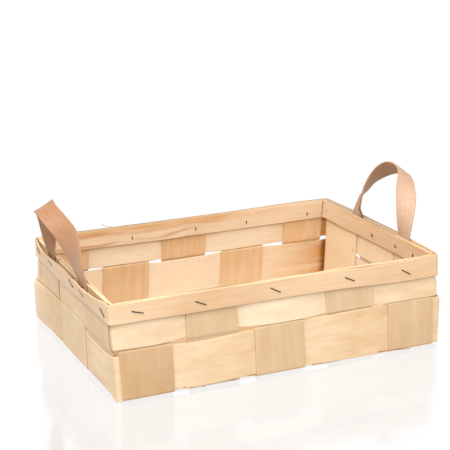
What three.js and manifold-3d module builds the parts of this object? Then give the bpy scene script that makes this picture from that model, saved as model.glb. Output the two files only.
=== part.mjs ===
// A chip basket: wood splints in plain weave, two stapled rim bands and two bent wood handles.
// Millimetres. +X runs along the length, +Y to the back, +Z up; the origin is the middle of the underside.
// The pieces are drawn with upright walls. settle() then spreads the long walls towards the floor and
// bows the end walls outwards, for every piece alike, so that neighbours stay clear of each other.

import Module from "manifold-3d";
import * as THREE from "three";
import { mergeVertices } from "three/addons/utils/BufferGeometryUtils.js";

// Overall size
const rimLength = 400; // outside of the outer rim, from corner to corner
const rimWidth = 260;
const rimTop = 107.5;
const floorWidth = 282; // the long walls lean in from here to the rim
const endWallBow = 2.5; // how far the middle of each end wall stands out at the rim
const floorBowShare = 0.3; // share of that bow that is left at the floor

// Stock
const splintThickness = 1.1;
const rimThickness = 2;
const rimHeight = 23;
const handleThickness = 2;
const handleWidth = 23.8;
const handleEase = 0.5; // of its long edges
const clearance = 0.3; // between neighbouring layers

// Weave
const cornerRadius = 6; // of the wall's middle surface, seen from above
const bendRadius = 3.2; // where a strip turns up from the floor
const crossStripGap = 20.2;
const crossStripStray = [0, -0.25, -0.3, 0.2, 0]; // shares of a gap, from hand weaving
const longStripGap = 6.4;
const longStripStray = [0, -0.45, 0];
const lowerWeaverWidth = 49.5;
const rowGap = 4.2; // between the two weavers
const topSetback = 1.5; // splint ends below the top of the rim
const jointGap = 0.8; // between the two ends of a band

// Handles
const legSpacing = 109;
const archRise = 73.4; // of the strip's middle, above where the arch springs
const springingDepth = 2; // below the top of the rim
const legDepth = 20; // held below the springing
const looseRim = { left: 4.4, right: 0.2 }; // room left between the outer rim and the legs' outsides

// Staples
const crownWidth = 12.7;
const wireWidth = 1.2;
const wireThickness = 0.8;
const tipLength = 3.8; // clinched on the inside
const buriedDepth = 0.9; // wood left in front of the buried leg

// Smoothness of curves
const arcSteps = 4;
const longestStep = 15;
const handleSteps = 48;
const closestStep = 0.2;
const easeShares = [0.3, 0.7]; // of the way between two crossings
const roundOff = 1e-9;

// The wall's middle surface lies between its two splint layers.
const layerOffset = (splintThickness + clearance) / 2;
const wallHalfThickness = splintThickness + clearance / 2;
const rimInset = wallHalfThickness + clearance;
const halfLength = rimLength / 2 - rimThickness - rimInset;
const halfWidth = rimWidth / 2 - rimThickness - rimInset;
const sideReach = halfLength - cornerRadius;
const endReach = halfWidth - cornerRadius;
const floorMiddle = wallHalfThickness;
const wallFoot = floorMiddle + bendRadius;
const lowerWeaver = { bottom: wallFoot + clearance, top: wallFoot + clearance + lowerWeaverWidth };
const upperWeaver = { bottom: lowerWeaver.top + rowGap, top: rimTop - topSetback };
const splintTop = rimTop - topSetback;

const clamp01 = (value) => Math.min(1, Math.max(0, value));
const smooth = (share) => clamp01(share) ** 2 * (3 - 2 * clamp01(share));

// Strips of one width fill a reach from -reach to +reach with even gaps; each strays by a share of a gap.
function stripRanges(reach, gap, stray) {
  const count = stray.length;
  const width = (2 * reach - (count - 1) * gap) / count;
  return stray.map((share, index) => {
    const start = -reach + index * (width + gap) + share * gap;
    return { start, end: start + width };
  });
}
const crossStrips = stripRanges(sideReach, crossStripGap, crossStripStray);
const longStrips = stripRanges(endReach, longStripGap, longStripStray);

// Wall shape

// Moves a point drawn on upright walls to where it really is.
function settle(point) {
  const rise = clamp01(point.z / rimTop);
  const spread = (floorWidth / 2 / (halfWidth + wallHalfThickness) - 1) * (1 - rise);
  const towardsEnd = Math.min(1, Math.abs(point.x) / halfLength) ** 4;
  const acrossEnd = Math.max(0, 1 - (point.y / halfWidth) ** 2);
  const bow = endWallBow * (floorBowShare + (1 - floorBowShare) * rise) * towardsEnd * acrossEnd;
  point.x += Math.sign(point.x) * bow;
  point.y *= 1 + spread;
  return point;
}

function settleGeometry(geometry) {
  const position = geometry.attributes.position;
  const point = new THREE.Vector3();
  for (let index = 0; index < position.count; index += 1) {
    settle(point.fromBufferAttribute(position, index));
    position.setXYZ(index, point.x, point.y, point.z);
  }
  return geometry;
}

// The side view of a strip: along the floor and up two walls. s is the distance from the floor's middle,
// and offset is measured outwards from the middle surface.
function stripPath(halfSpan) {
  const floorRun = halfSpan - bendRadius;
  const bendRun = (bendRadius * Math.PI) / 2;
  return {
    onFloor: (place) => place,
    onWall: (height) => floorRun + bendRun + height - wallFoot,
    bends: [-1, 1].flatMap((side) =>
      Array.from({ length: arcSteps + 1 }, (_, step) => side * (floorRun + (bendRun * step) / arcSteps))
    ),
    at(s, offset) {
      const side = Math.sign(s) || 1;
      const turn = clamp01((Math.abs(s) - floorRun) / bendRun) * (Math.PI / 2);
      const flat = Math.min(Math.abs(s), floorRun);
      const climb = Math.max(0, Math.abs(s) - floorRun - bendRun);
      const radius = bendRadius + offset;
      const across = flat + radius * Math.sin(turn);
      return new THREE.Vector2(side * across, floorMiddle + bendRadius - radius * Math.cos(turn) + climb);
    },
  };
}

// The plan of the walls: a rounded rectangle, walked from the middle of the front, seen from above.
const ringPath = (() => {
  const arc = (cornerRadius * Math.PI) / 2;
  const rightStart = sideReach + arc;
  const backStart = rightStart + 2 * endReach + arc;
  const leftStart = backStart + 2 * sideReach + arc;
  const total = leftStart + 2 * endReach + arc + sideReach;
  const runs = [
    { start: -sideReach, length: 2 * sideReach, from: [-sideReach, -halfWidth], heading: 0 },
    { start: rightStart, length: 2 * endReach, from: [halfLength, -endReach], heading: 1 },
    { start: backStart, length: 2 * sideReach, from: [sideReach, halfWidth], heading: 2 },
    { start: leftStart, length: 2 * endReach, from: [-halfLength, endReach], heading: 3 },
  ];
  return {
    total,
    front: (x) => x,
    right: (y) => rightStart + endReach + y,
    back: (x) => backStart + sideReach - x,
    left: (y) => leftStart + endReach - y,
    at(s, offset) {
      let place = s % total;
      if (place > total - sideReach) place -= total;
      const run = runs.findLast((one) => place >= one.start - roundOff);
      const beyond = Math.max(0, place - run.start - run.length);
      const along = Math.min(place - run.start, run.length);
      const angle = (run.heading * Math.PI) / 2;
      const turn = beyond / cornerRadius;
      const forward = along + (cornerRadius + offset) * Math.sin(turn);
      const outward = offset - (cornerRadius + offset) * (1 - Math.cos(turn));
      return new THREE.Vector2(
        run.from[0] + forward * Math.cos(angle) + outward * Math.sin(angle),
        run.from[1] + forward * Math.sin(angle) - outward * Math.cos(angle)
      );
    },
    bends(start) {
      const places = [];
      for (let lap = 0; lap < 2; lap += 1) {
        runs.forEach((run) => {
          const cornerStart = run.start + run.length;
          for (let step = 0; step <= arcSteps; step += 1) {
            places.push(lap * total + cornerStart + (arc * step) / arcSteps);
          }
          if (run.heading % 2 === 1) {
            const pieces = Math.ceil(run.length / longestStep);
            for (let step = 1; step < pieces; step += 1) {
              places.push(lap * total + run.start + (run.length * step) / pieces);
            }
          }
        });
      }
      return places.filter((place) => place > start && place < start + total - jointGap);
    },
  };
})();

// A splint is level beside each crossing and eases from side to side between crossings.
function weaveOffset(crossings, s) {
  const next = crossings.findIndex((crossing) => s < crossing.end);
  const here = crossings[next === -1 ? crossings.length - 1 : next];
  if (next <= 0 || s >= here.start) return here.side * layerOffset;
  const before = crossings[next - 1];
  const share = smooth((s - before.end) / (here.start - before.end));
  return layerOffset * (before.side + (here.side - before.side) * share);
}

function weaveStations(crossings) {
  const stations = [];
  crossings.forEach((crossing, index) => {
    stations.push(crossing.start, crossing.end);
    if (index > 0) {
      const before = crossings[index - 1].end;
      stations.push(...easeShares.map((share) => before + (crossing.start - before) * share));
    }
  });
  return stations;
}

function sortedStations(stations, start, end) {
  const inside = stations.filter((s) => s > start && s < end);
  const sorted = [start, ...inside, end].sort((a, b) => a - b);
  return sorted.filter((s, index) => {
    const isEnd = index === 0 || s === end;
    return isEnd || (s - sorted[index - 1] > closestStep && end - s > closestStep);
  });
}

// The outline of a band that lies between two offsets from a path.
function bandOutline(path, stations, innerOffset, outerOffset) {
  const outer = stations.map((s) => path.at(s, outerOffset(s)));
  const inner = stations.map((s) => path.at(s, innerOffset(s))).reverse();
  return new THREE.Shape([...outer, ...inner]);
}

function splintOutline(path, stations, crossings) {
  const middle = (s) => weaveOffset(crossings, s);
  const half = splintThickness / 2;
  return bandOutline(path, stations, (s) => middle(s) - half, (s) => middle(s) + half);
}

// Upright strips: each runs up one wall, under or over the strips on the floor, and up the other wall.
function stripOutline(halfSpan, floorRanges, outsideLow) {
  const path = stripPath(halfSpan);
  const low = { start: path.onWall(lowerWeaver.bottom), end: path.onWall(lowerWeaver.top) };
  const high = { start: path.onWall(upperWeaver.bottom), end: path.onWall(splintTop) };
  const ranges = [
    { start: -high.end, end: -high.start },
    { start: -low.end, end: -low.start },
    ...floorRanges.map(({ start, end }) => ({ start: path.onFloor(start), end: path.onFloor(end) })),
    low,
    high,
  ];
  const firstSide = outsideLow ? -1 : 1;
  const crossings = ranges.map((range, index) => ({ ...range, side: index % 2 ? -firstSide : firstSide }));
  const stations = sortedStations([...weaveStations(crossings), ...path.bends], -high.end, high.end);
  return splintOutline(path, stations, crossings);
}

function extruded(outline, depth, steps = 1) {
  return new THREE.ExtrudeGeometry(outline, { depth, steps, bevelEnabled: false });
}

function crossStripGeometry(index) {
  const { start, end } = crossStrips[index];
  const outline = stripOutline(halfWidth, longStrips, index % 2 === 0);
  const geometry = extruded(outline, end - start);
  const turned = new THREE.Matrix4().makeBasis(
    new THREE.Vector3(0, 1, 0),
    new THREE.Vector3(0, 0, 1),
    new THREE.Vector3(1, 0, 0)
  );
  return settleGeometry(geometry.applyMatrix4(turned.setPosition(start, 0, 0)));
}

function longStripGeometry(index) {
  const { start, end } = longStrips[index];
  const outline = stripOutline(halfLength, crossStrips, index % 2 === 1);
  const steps = Math.ceil((end - start) / longestStep);
  const geometry = extruded(outline, end - start, steps);
  const turned = new THREE.Matrix4().makeBasis(
    new THREE.Vector3(1, 0, 0),
    new THREE.Vector3(0, 0, 1),
    new THREE.Vector3(0, -1, 0)
  );
  return settleGeometry(geometry.applyMatrix4(turned.setPosition(0, end, 0)));
}

// A band round the four walls, from one end to the other, which meet at jointPlace.
function ringGeometry(outline, bottom, top) {
  return settleGeometry(extruded(outline, top - bottom).translate(0, 0, bottom));
}

// Weavers: outside of the even-numbered cross strips in one row, and of the odd-numbered in the other.
function weaverGeometry({ bottom, top }, outsideFirst, jointPlace) {
  const along = (toPlace, { start, end }) => {
    const places = [toPlace(start), toPlace(end)];
    return { start: Math.min(...places), end: Math.max(...places) };
  };
  const sideOf = (index, first) => (index % 2 === 0 ? first : -first);
  const first = outsideFirst ? 1 : -1;
  const lap = [
    ...crossStrips.map((range, index) => ({ ...along(ringPath.front, range), side: sideOf(index, first) })),
    ...longStrips.map((range, index) => ({ ...along(ringPath.right, range), side: sideOf(index, -first) })),
    ...crossStrips.map((range, index) => ({ ...along(ringPath.back, range), side: sideOf(index, first) })),
    ...longStrips.map((range, index) => ({ ...along(ringPath.left, range), side: sideOf(index, -first) })),
  ].sort((a, b) => a.start - b.start);
  const shifted = (turns) =>
    lap.map(({ start, end, side }) => ({
      start: start + turns * ringPath.total,
      end: end + turns * ringPath.total,
      side,
    }));
  const crossings = [...shifted(-1), ...shifted(0), ...shifted(1)];
  const end = jointPlace + ringPath.total - jointGap;
  const places = [...weaveStations(crossings), ...ringPath.bends(jointPlace)];
  const stations = sortedStations(places, jointPlace, end);
  return ringGeometry(splintOutline(ringPath, stations, crossings), bottom, top);
}

// Handles

const leftHandle = {
  side: -1,
  centreY: 8,
  lean: 23.4,
  leanPower: 1.8,
  sway: 2.9,
  spreadPower: 1.04,
  risePower: 0.84,
  nearTurn: { from: 180, start: 17, end: 67 },
  farTurn: { from: 0, start: 0, end: 110 },
  crownTurn: 118,
};
const rightHandle = {
  side: 1,
  centreY: -3.5,
  lean: 24.3,
  leanPower: 2.1,
  sway: 1,
  spreadPower: 1,
  risePower: 1.16,
  nearTurn: { from: 0, start: 0, end: 105 },
  farTurn: { from: 0, start: 0, end: 87 },
  crownTurn: 126,
};

const springing = rimTop - springingDepth;
const handleInset = wallHalfThickness + clearance + handleThickness / 2;

// The middle line of a handle: up from the near leg, over the arch and down the far leg. The strip turns
// about this line between each leg, where it lies flat on the wall, and the crown of the arch.
class HandleCurve extends THREE.Curve {
  constructor(handle) {
    super();
    this.handle = handle;
    this.legShare = 0.08;
  }

  getPoint(t, target = new THREE.Vector3()) {
    const { side, centreY, lean, leanPower, sway, spreadPower, risePower } = this.handle;
    const legPlace = Math.max(0, this.legShare - t, t - 1 + this.legShare) / this.legShare;
    const swing = (clamp01((t - this.legShare) / (1 - 2 * this.legShare)) - 0.5) * Math.PI;
    const rise = Math.cos(swing) > roundOff ? Math.cos(swing) ** risePower : 0;
    const across = Math.sign(swing) * Math.abs(Math.sin(swing)) ** spreadPower;
    return target.set(
      side * (halfLength + handleInset + lean * rise ** leanPower),
      centreY + (legSpacing / 2) * across + sway * rise,
      springing + archRise * rise - legDepth * legPlace
    );
  }

  turnAt(distance, length) {
    const { nearTurn, farTurn, crownTurn } = this.handle;
    const turn = distance < length / 2 ? nearTurn : farTurn;
    const beyondLeg = Math.min(distance, length - distance) - legDepth;
    const share = smooth((beyondLeg - turn.start) / (turn.end - turn.start));
    return THREE.MathUtils.degToRad(turn.from + (crownTurn - turn.from) * share);
  }

  computeFrenetFrames(steps) {
    const frames = { tangents: [], normals: [], binormals: [] };
    const outwards = new THREE.Vector3(this.handle.side, 0, 0);
    const length = this.getLength();
    for (let step = 0; step <= steps; step += 1) {
      const tangent = this.getTangentAt(step / steps);
      const outer = outwards.clone().addScaledVector(tangent, -outwards.dot(tangent)).normalize();
      const aside = new THREE.Vector3().crossVectors(outer, tangent).multiplyScalar(this.handle.side);
      const turn = this.turnAt((length * step) / steps, length);
      const widthwise = aside.multiplyScalar(Math.cos(turn)).addScaledVector(outer, Math.sin(turn));
      frames.tangents.push(tangent);
      frames.normals.push(widthwise);
      frames.binormals.push(new THREE.Vector3().crossVectors(tangent, widthwise));
    }
    return frames;
  }
}

function handleGeometry(handle) {
  const halfWide = handleWidth / 2;
  const halfThick = handleThickness / 2;
  const edge = handleEase;
  const section = new THREE.Shape([
    new THREE.Vector2(halfWide, -halfThick + edge),
    new THREE.Vector2(halfWide, halfThick - edge),
    new THREE.Vector2(halfWide - edge, halfThick),
    new THREE.Vector2(-halfWide + edge, halfThick),
    new THREE.Vector2(-halfWide, halfThick - edge),
    new THREE.Vector2(-halfWide, -halfThick + edge),
    new THREE.Vector2(-halfWide + edge, -halfThick),
    new THREE.Vector2(halfWide - edge, -halfThick),
  ]);
  const extrudePath = new HandleCurve(handle);
  return settleGeometry(new THREE.ExtrudeGeometry(section, { steps: handleSteps, extrudePath }));
}

// Rim bands: the outer one springs off each end wall to pass over the handle legs.
const legReach = Math.max(
  ...[leftHandle, rightHandle].map((handle) => Math.abs(handle.centreY) + (legSpacing + handleWidth) / 2)
);
const springShape = (y) => Math.max(0, 1 - (y / endReach) ** 4);
const leastStandoff = (handleThickness + clearance) / springShape(legReach);

function standoffAt(wall, y) {
  return wall in looseRim ? (leastStandoff + looseRim[wall]) * springShape(y) : 0;
}

function outerRimOffset(s) {
  const point = ringPath.at(s, 0);
  const onEndWall = Math.abs(point.y) < endReach && Math.abs(point.x) > sideReach;
  return rimInset + (onEndWall ? standoffAt(point.x < 0 ? "left" : "right", point.y) : 0);
}

function rimGeometry(innerOffset, jointPlace) {
  const end = jointPlace + ringPath.total - jointGap;
  const stations = sortedStations(ringPath.bends(jointPlace), jointPlace, end);
  const outline = bandOutline(ringPath, stations, innerOffset, (s) => innerOffset(s) + rimThickness);
  return ringGeometry(outline, rimTop - rimHeight, rimTop);
}

// Staples: the crown lies on the outer rim, slanting down to the right; the upper leg ends in the inner
// rim, and the lower leg comes through and is clinched upright on the inside. Each one fastens a strip or
// a handle's leg, and lies so far aside of its middle and so far below the middle of the rim.
const rimMiddle = rimTop - rimHeight / 2;
const middleOf = ({ start, end }) => (start + end) / 2;
const middlesOf = (strips) => strips.map(middleOf);
const legsOf = (handle) => [-1, 1].map((side) => handle.centreY + (side * legSpacing) / 2);
const [crossOne, crossTwo, crossThree, crossFour, crossFive] = middlesOf(crossStrips);
const [longFront, longMiddle, longBack] = middlesOf(longStrips);
const [leftNearLeg, leftFarLeg] = legsOf(leftHandle);
const [rightNearLeg, rightFarLeg] = legsOf(rightHandle);
const staplePlaces = {
  front: [
    { on: crossOne, aside: -10, below: 1, tilt: -15 },
    { on: crossTwo, aside: -13.5, below: 2, tilt: -23 },
    { on: crossThree, aside: -3.5, below: 1, tilt: -28 },
    { on: crossFour, aside: -1, below: 2, tilt: -25 },
    { on: crossFive, aside: -3.5, below: 4, tilt: -30 },
  ],
  right: [
    { on: longFront, aside: -11, below: 2, tilt: -24 },
    { on: rightNearLeg, aside: 1.5, below: 1, tilt: -28 },
    { on: longMiddle, aside: -1, below: 3, tilt: -20 },
    { on: rightFarLeg, aside: 0.5, below: 1, tilt: -27 },
    { on: longBack, aside: 28.5, below: 1, tilt: -22 },
  ],
  back: [
    { on: crossOne, aside: 2.5, below: 2, tilt: -26 },
    { on: crossTwo, aside: 13.5, below: 3, tilt: -22 },
    { on: crossThree, aside: 20, below: 2, tilt: -27 },
    { on: crossFour, aside: 1.5, below: 3, tilt: -18 },
    { on: crossFive, aside: 14, below: 2, tilt: -25 },
  ],
  left: [
    { on: longFront, aside: -21.5, below: 4.5, tilt: -32 },
    { on: leftNearLeg, aside: 0, below: 2.5, tilt: -28 },
    { on: longMiddle, aside: -11, below: -1, tilt: -38 },
    { on: leftFarLeg, aside: 0, below: 1.5, tilt: -25 },
    { on: longBack, aside: 25.5, below: 2, tilt: -28 },
  ],
};

// A point on a wall, at an offset outwards from its middle surface.
function wallPoint(wall, along, offset, height) {
  const across = { front: -halfWidth - offset, back: halfWidth + offset }[wall];
  const outwards = { left: -halfLength - offset, right: halfLength + offset }[wall];
  const onLongWall = across !== undefined;
  return settle(new THREE.Vector3(onLongWall ? along : outwards, onLongWall ? across : along, height));
}

// A staple's own axes: x to the right as seen from outside, y up the wall and z outwards.
function stapleFrame(wall, { on, aside, below }) {
  const along = on + aside;
  const height = rimMiddle - below;
  const rightwards = wall === "front" || wall === "right" ? 1 : -1;
  const reach = crownWidth / 2;
  const standoff = Math.max(...[-reach, 0, reach].map((step) => standoffAt(wall, along + step)));
  const face = rimInset + standoff + rimThickness;
  const at = (place, level) => wallPoint(wall, place, face, level);
  const right = at(along + reach * rightwards, height);
  const across = right.sub(at(along - reach * rightwards, height)).normalize();
  const upwards = at(along, height + reach).sub(at(along, height - reach));
  const outwards = new THREE.Vector3().crossVectors(across, upwards).normalize();
  const frame = new THREE.Matrix4().makeBasis(across, outwards.clone().cross(across), outwards);
  return { frame: frame.setPosition(at(along, height)), depth: face + rimInset + rimThickness };
}

const wasm = await Module();
wasm.setup();

function toSolid(geometry) {
  const bare = geometry.clone();
  bare.deleteAttribute("normal");
  bare.deleteAttribute("uv");
  const merged = mergeVertices(bare);
  const vertProperties = new Float32Array(merged.attributes.position.array);
  const triVerts = new Uint32Array(merged.index.array);
  return new wasm.Manifold(new wasm.Mesh({ numProp: 3, vertProperties, triVerts }));
}

function toGeometry(solid) {
  const mesh = solid.getMesh();
  const indexed = new THREE.BufferGeometry();
  indexed.setAttribute("position", new THREE.BufferAttribute(new Float32Array(mesh.vertProperties), 3));
  indexed.setIndex(new THREE.BufferAttribute(new Uint32Array(mesh.triVerts), 1));
  const geometry = indexed.toNonIndexed();
  geometry.computeVertexNormals();
  return geometry;
}

function block([lowX, lowY, lowZ], [highX, highY, highZ], matrix) {
  const geometry = new THREE.BoxGeometry(highX - lowX, highY - lowY, highZ - lowZ);
  geometry.translate((lowX + highX) / 2, (lowY + highY) / 2, (lowZ + highZ) / 2);
  return toSolid(geometry.applyMatrix4(matrix));
}

function makeStaple(wall, place) {
  const { frame, depth } = stapleFrame(wall, place);
  const tilt = THREE.MathUtils.degToRad(place.tilt);
  const tilted = frame.clone().multiply(new THREE.Matrix4().makeRotationZ(tilt));
  const halfCrown = crownWidth / 2;
  const halfWire = wireWidth / 2;
  const crownTop = clearance + wireThickness;
  const upperEnd = -depth + buriedDepth;
  const lowerEnd = -depth - clearance - wireThickness;
  const lowerLegPlace = halfCrown - wireThickness / 2;
  const tipX = lowerLegPlace * Math.cos(tilt);
  const tipY = lowerLegPlace * Math.sin(tilt);
  const solid = block([-halfCrown, -halfWire, clearance], [halfCrown, halfWire, crownTop], tilted)
    .add(block([-halfCrown, -halfWire, upperEnd], [-halfCrown + wireThickness, halfWire, crownTop], tilted))
    .add(block([halfCrown - wireThickness, -halfWire, lowerEnd], [halfCrown, halfWire, crownTop], tilted))
    .add(
      block(
        [tipX - halfWire, tipY - halfWire, lowerEnd],
        [tipX + halfWire, tipY - halfWire + tipLength, lowerEnd + wireThickness],
        frame
      )
    );
  const hole = halfWire + clearance;
  const holeWall = wireThickness + clearance;
  const holeStart = -depth - crownTop;
  const upperHole = block(
    [-halfCrown - clearance, -hole, upperEnd - clearance],
    [-halfCrown + holeWall, hole, crownTop],
    tilted
  );
  const lowerHole = block(
    [halfCrown - holeWall, -hole, holeStart],
    [halfCrown + clearance, hole, crownTop],
    tilted
  );
  return { solid, holes: upperHole.add(lowerHole) };
}

// Finishes
const paleSplint = new THREE.MeshStandardMaterial({ color: 0xf3dcb4, roughness: 0.72, metalness: 0 });
const warmSplint = new THREE.MeshStandardMaterial({ color: 0xe6bd86, roughness: 0.72, metalness: 0 });
const rimWood = new THREE.MeshStandardMaterial({ color: 0xecc48e, roughness: 0.7, metalness: 0 });
const handleWood = new THREE.MeshStandardMaterial({ color: 0xd3a47c, roughness: 0.6, metalness: 0 });
const stapleSteel = new THREE.MeshStandardMaterial({ color: 0x6b6660, roughness: 0.4, metalness: 1 });

// Assembly
const basket = new THREE.Group();

function addPiece(name, geometry, material) {
  const piece = new THREE.Mesh(geometry, material);
  piece.name = name;
  basket.add(piece);
}

const staples = Object.entries(staplePlaces).flatMap(([wall, places]) =>
  places.map((place, index) => ({ name: `staple_${wall}_${index + 1}`, ...makeStaple(wall, place) }))
);
const stapleHoles = staples.map((staple) => staple.holes).reduce((all, one) => all.add(one));

function addStapledPiece(name, geometry, material) {
  addPiece(name, toGeometry(toSolid(geometry).subtract(stapleHoles)), material);
}

crossStrips.forEach((_, index) => {
  addStapledPiece(`cross_strip_${index + 1}`, crossStripGeometry(index), warmSplint);
});
["front", "middle", "back"].forEach((place, index) => {
  addStapledPiece(`long_strip_${place}`, longStripGeometry(index), warmSplint);
});

const lowerJoint = ringPath.front(crossThree);
const upperJoint = ringPath.front(crossFour);
addStapledPiece("lower_weaver", weaverGeometry(lowerWeaver, false, lowerJoint), paleSplint);
addStapledPiece("upper_weaver", weaverGeometry(upperWeaver, true, upperJoint), paleSplint);

const outerJoint = ringPath.back(crossTwo);
const innerJoint = ringPath.back(sideReach);
addStapledPiece("outer_rim", rimGeometry(outerRimOffset, outerJoint), rimWood);
addStapledPiece("inner_rim", rimGeometry(() => -rimInset - rimThickness, innerJoint), rimWood);

addStapledPiece("handle_left", handleGeometry(leftHandle), handleWood);
addStapledPiece("handle_right", handleGeometry(rightHandle), handleWood);

staples.forEach(({ name, solid }) => {
  addPiece(name, toGeometry(solid), stapleSteel);
});

export default basket;
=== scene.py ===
"""A chip basket of wood splints in plain weave, with two stapled rim bands and two bent wood handles.

Shapes are worked out in millimetres as numpy arrays and turned to metres when a mesh is made. A band is
drawn on upright walls from three values: s along its grain, a share of its width, and an offset from its
middle. settle() then leans, bows and warps all bands alike, so that neighbours stay clear of each other.
"""
import math

import bpy
import numpy as np
from mathutils import Matrix, Vector


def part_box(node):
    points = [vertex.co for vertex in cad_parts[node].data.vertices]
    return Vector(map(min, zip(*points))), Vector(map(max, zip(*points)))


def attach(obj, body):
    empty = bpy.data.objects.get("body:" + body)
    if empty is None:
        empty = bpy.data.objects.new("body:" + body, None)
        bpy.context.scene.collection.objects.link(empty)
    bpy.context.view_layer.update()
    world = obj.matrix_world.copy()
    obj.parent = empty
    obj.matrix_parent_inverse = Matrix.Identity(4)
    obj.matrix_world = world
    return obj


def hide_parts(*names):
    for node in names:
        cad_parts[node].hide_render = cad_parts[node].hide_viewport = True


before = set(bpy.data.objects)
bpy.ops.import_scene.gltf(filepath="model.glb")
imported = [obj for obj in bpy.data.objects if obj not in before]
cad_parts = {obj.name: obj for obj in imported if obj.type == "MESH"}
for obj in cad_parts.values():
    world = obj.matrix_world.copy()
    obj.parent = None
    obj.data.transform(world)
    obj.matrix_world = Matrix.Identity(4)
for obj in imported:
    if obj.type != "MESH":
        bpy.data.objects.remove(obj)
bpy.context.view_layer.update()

MM = 0.001
BODY = "root"


def node_box(name):
    """The low and the high corner of a node of the frame, in millimetres."""
    low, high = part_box(name)
    return np.array(low) / MM, np.array(high) / MM


# Overall size, with the heights from the frame
RIM_TOP = node_box("outer_rim")[1][2]
RIM_BOTTOM = node_box("outer_rim")[0][2]
LOWER_ROW = (node_box("lower_weaver")[0][2], node_box("lower_weaver")[1][2])
UPPER_ROW = (node_box("upper_weaver")[0][2], node_box("upper_weaver")[1][2])
SPLINT_TOP = node_box("cross_strip_3")[1][2]
RIM_LENGTH = 400.0
RIM_WIDTH = 260.0
FLOOR_WIDTH = 282.0
END_BOW = 2.5
FLOOR_BOW_SHARE = 0.3

# Stock
SPLINT = 1.1
RIM = 2.0
CLEARANCE = 0.3
CORNER_RADIUS = 6.0
BEND_RADIUS = 3.2
JOINT_GAP = 0.8
HANDLE = 2.0
HANDLE_WIDTH = 23.8
EASE = 0.22  # of the splints' cut edges
FLAT_ROW = 0.9  # a row of points beside each edge, to keep the faces flat

# The wall's middle surface lies between its two splint layers.
LAYER = (SPLINT + CLEARANCE) / 2
WALL_HALF = SPLINT + CLEARANCE / 2
RIM_INSET = WALL_HALF + CLEARANCE
HALF_LENGTH = RIM_LENGTH / 2 - RIM - RIM_INSET
HALF_WIDTH = RIM_WIDTH / 2 - RIM - RIM_INSET
SIDE_REACH = HALF_LENGTH - CORNER_RADIUS
END_REACH = HALF_WIDTH - CORNER_RADIUS
FLOOR_MIDDLE = WALL_HALF
WALL_FOOT = FLOOR_MIDDLE + BEND_RADIUS

# Strips across the basket: left and right edge, each at the front and at the back
CROSS_STRIPS = [
    ((-192.0, -192.0), (-133.4, -133.7)),
    ((-115.5, -114.7), (-55.6, -53.4)),
    ((-36.0, -36.0), (24.2, 24.5)),
    ((53.9, 47.4), (113.9, 107.2)),
    ((133.1, 136.2), (192.0, 192.0)),
]
# Strips along the basket: near and far edge
LONG_STRIPS = [(-120.4, -44.4), (-40.9, 35.1), (44.4, 120.4)]


# Camera

LENS = 102.85
SENSOR = 36.0
CAMERA_YAW = math.radians(-24.98)
CAMERA_PITCH = math.radians(16.65)
CAMERA_DISTANCE = 1500.42
CAMERA_TARGET = Vector((-9.12, 0.0, 133.18))


def place_camera():
    """Stands at a distance from its target, turned by the yaw from the front and raised by the pitch."""
    data = bpy.data.cameras.new("camera")
    data.lens = LENS
    data.sensor_fit = "HORIZONTAL"
    data.sensor_width = SENSOR
    camera = bpy.data.objects.new("camera", data)
    bpy.context.scene.collection.objects.link(camera)
    turn = Matrix.Rotation(CAMERA_YAW, 4, "Z") @ Matrix.Rotation(math.pi / 2 - CAMERA_PITCH, 4, "X")
    back = turn.to_3x3() @ Vector((0, 0, 1))
    camera.matrix_world = Matrix.Translation((CAMERA_TARGET + back * CAMERA_DISTANCE) * MM) @ turn
    bpy.context.scene.camera = camera


place_camera()


# Curves and easing

TINY = 1e-9  # least length of a step, which would otherwise divide by nothing


def smooth(share):
    """An S-curve from 0 to 1."""
    share = np.clip(share, 0, 1)
    return share * share * (3 - 2 * share)


def between(value, low, high):
    """An S-curve that is 0 up to low, and 1 from high on."""
    return smooth((value - low) / (high - low))


def eased(s, places, values):
    """Each value in turn at its place, with an S-curve from one to the next."""
    places, values = np.asarray(places), np.asarray(values)
    index = np.clip(np.searchsorted(places, s, side="right") - 1, 0, len(places) - 2)
    share = smooth((s - places[index]) / np.maximum(places[index + 1] - places[index], TINY))
    return values[index] + (values[index + 1] - values[index]) * share


def flowing(s, points):
    """A smooth line through (place, value) points: cubic pieces whose slopes come from the neighbours."""
    places, values = np.array(points, dtype=float).T
    slopes = np.gradient(values, places)
    index = np.clip(np.searchsorted(places, s, side="right") - 1, 0, len(places) - 2)
    run = places[index + 1] - places[index]
    t = np.clip((s - places[index]) / run, 0, 1)
    rise = values[index + 1] - values[index]
    start, end = slopes[index] * run, slopes[index + 1] * run
    return values[index] + t * start + t**2 * (3 * rise - 2 * start - end) + t**3 * (start + end - 2 * rise)


def hump(value, start, end):
    """Squared sine: nothing at both ends of a range, and one in its middle."""
    return np.sin(np.pi * np.clip((value - start) / (end - start), 0, 1)) ** 2


# Walls

ARC = CORNER_RADIUS * math.pi / 2
RIGHT_START = SIDE_REACH + ARC
BACK_START = RIGHT_START + 2 * END_REACH + ARC
LEFT_START = BACK_START + 2 * SIDE_REACH + ARC
RING = LEFT_START + 2 * END_REACH + ARC + SIDE_REACH
LAPS = (-1, 0, 1)  # three times round, so that a line flows on past its start
RUN_STARTS = np.array([-SIDE_REACH, RIGHT_START, BACK_START, LEFT_START])
RUN_LENGTHS = 2 * np.array([SIDE_REACH, END_REACH, SIDE_REACH, END_REACH])
RUN_FROM_X = np.array([-SIDE_REACH, HALF_LENGTH, SIDE_REACH, -HALF_LENGTH])
RUN_FROM_Y = np.array([-HALF_WIDTH, -END_REACH, HALF_WIDTH, END_REACH])
WALLS = {
    "front": lambda x: x,
    "right": lambda y: RIGHT_START + END_REACH + y,
    "back": lambda x: BACK_START + SIDE_REACH - x,
    "left": lambda y: LEFT_START + END_REACH - y,
}


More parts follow.
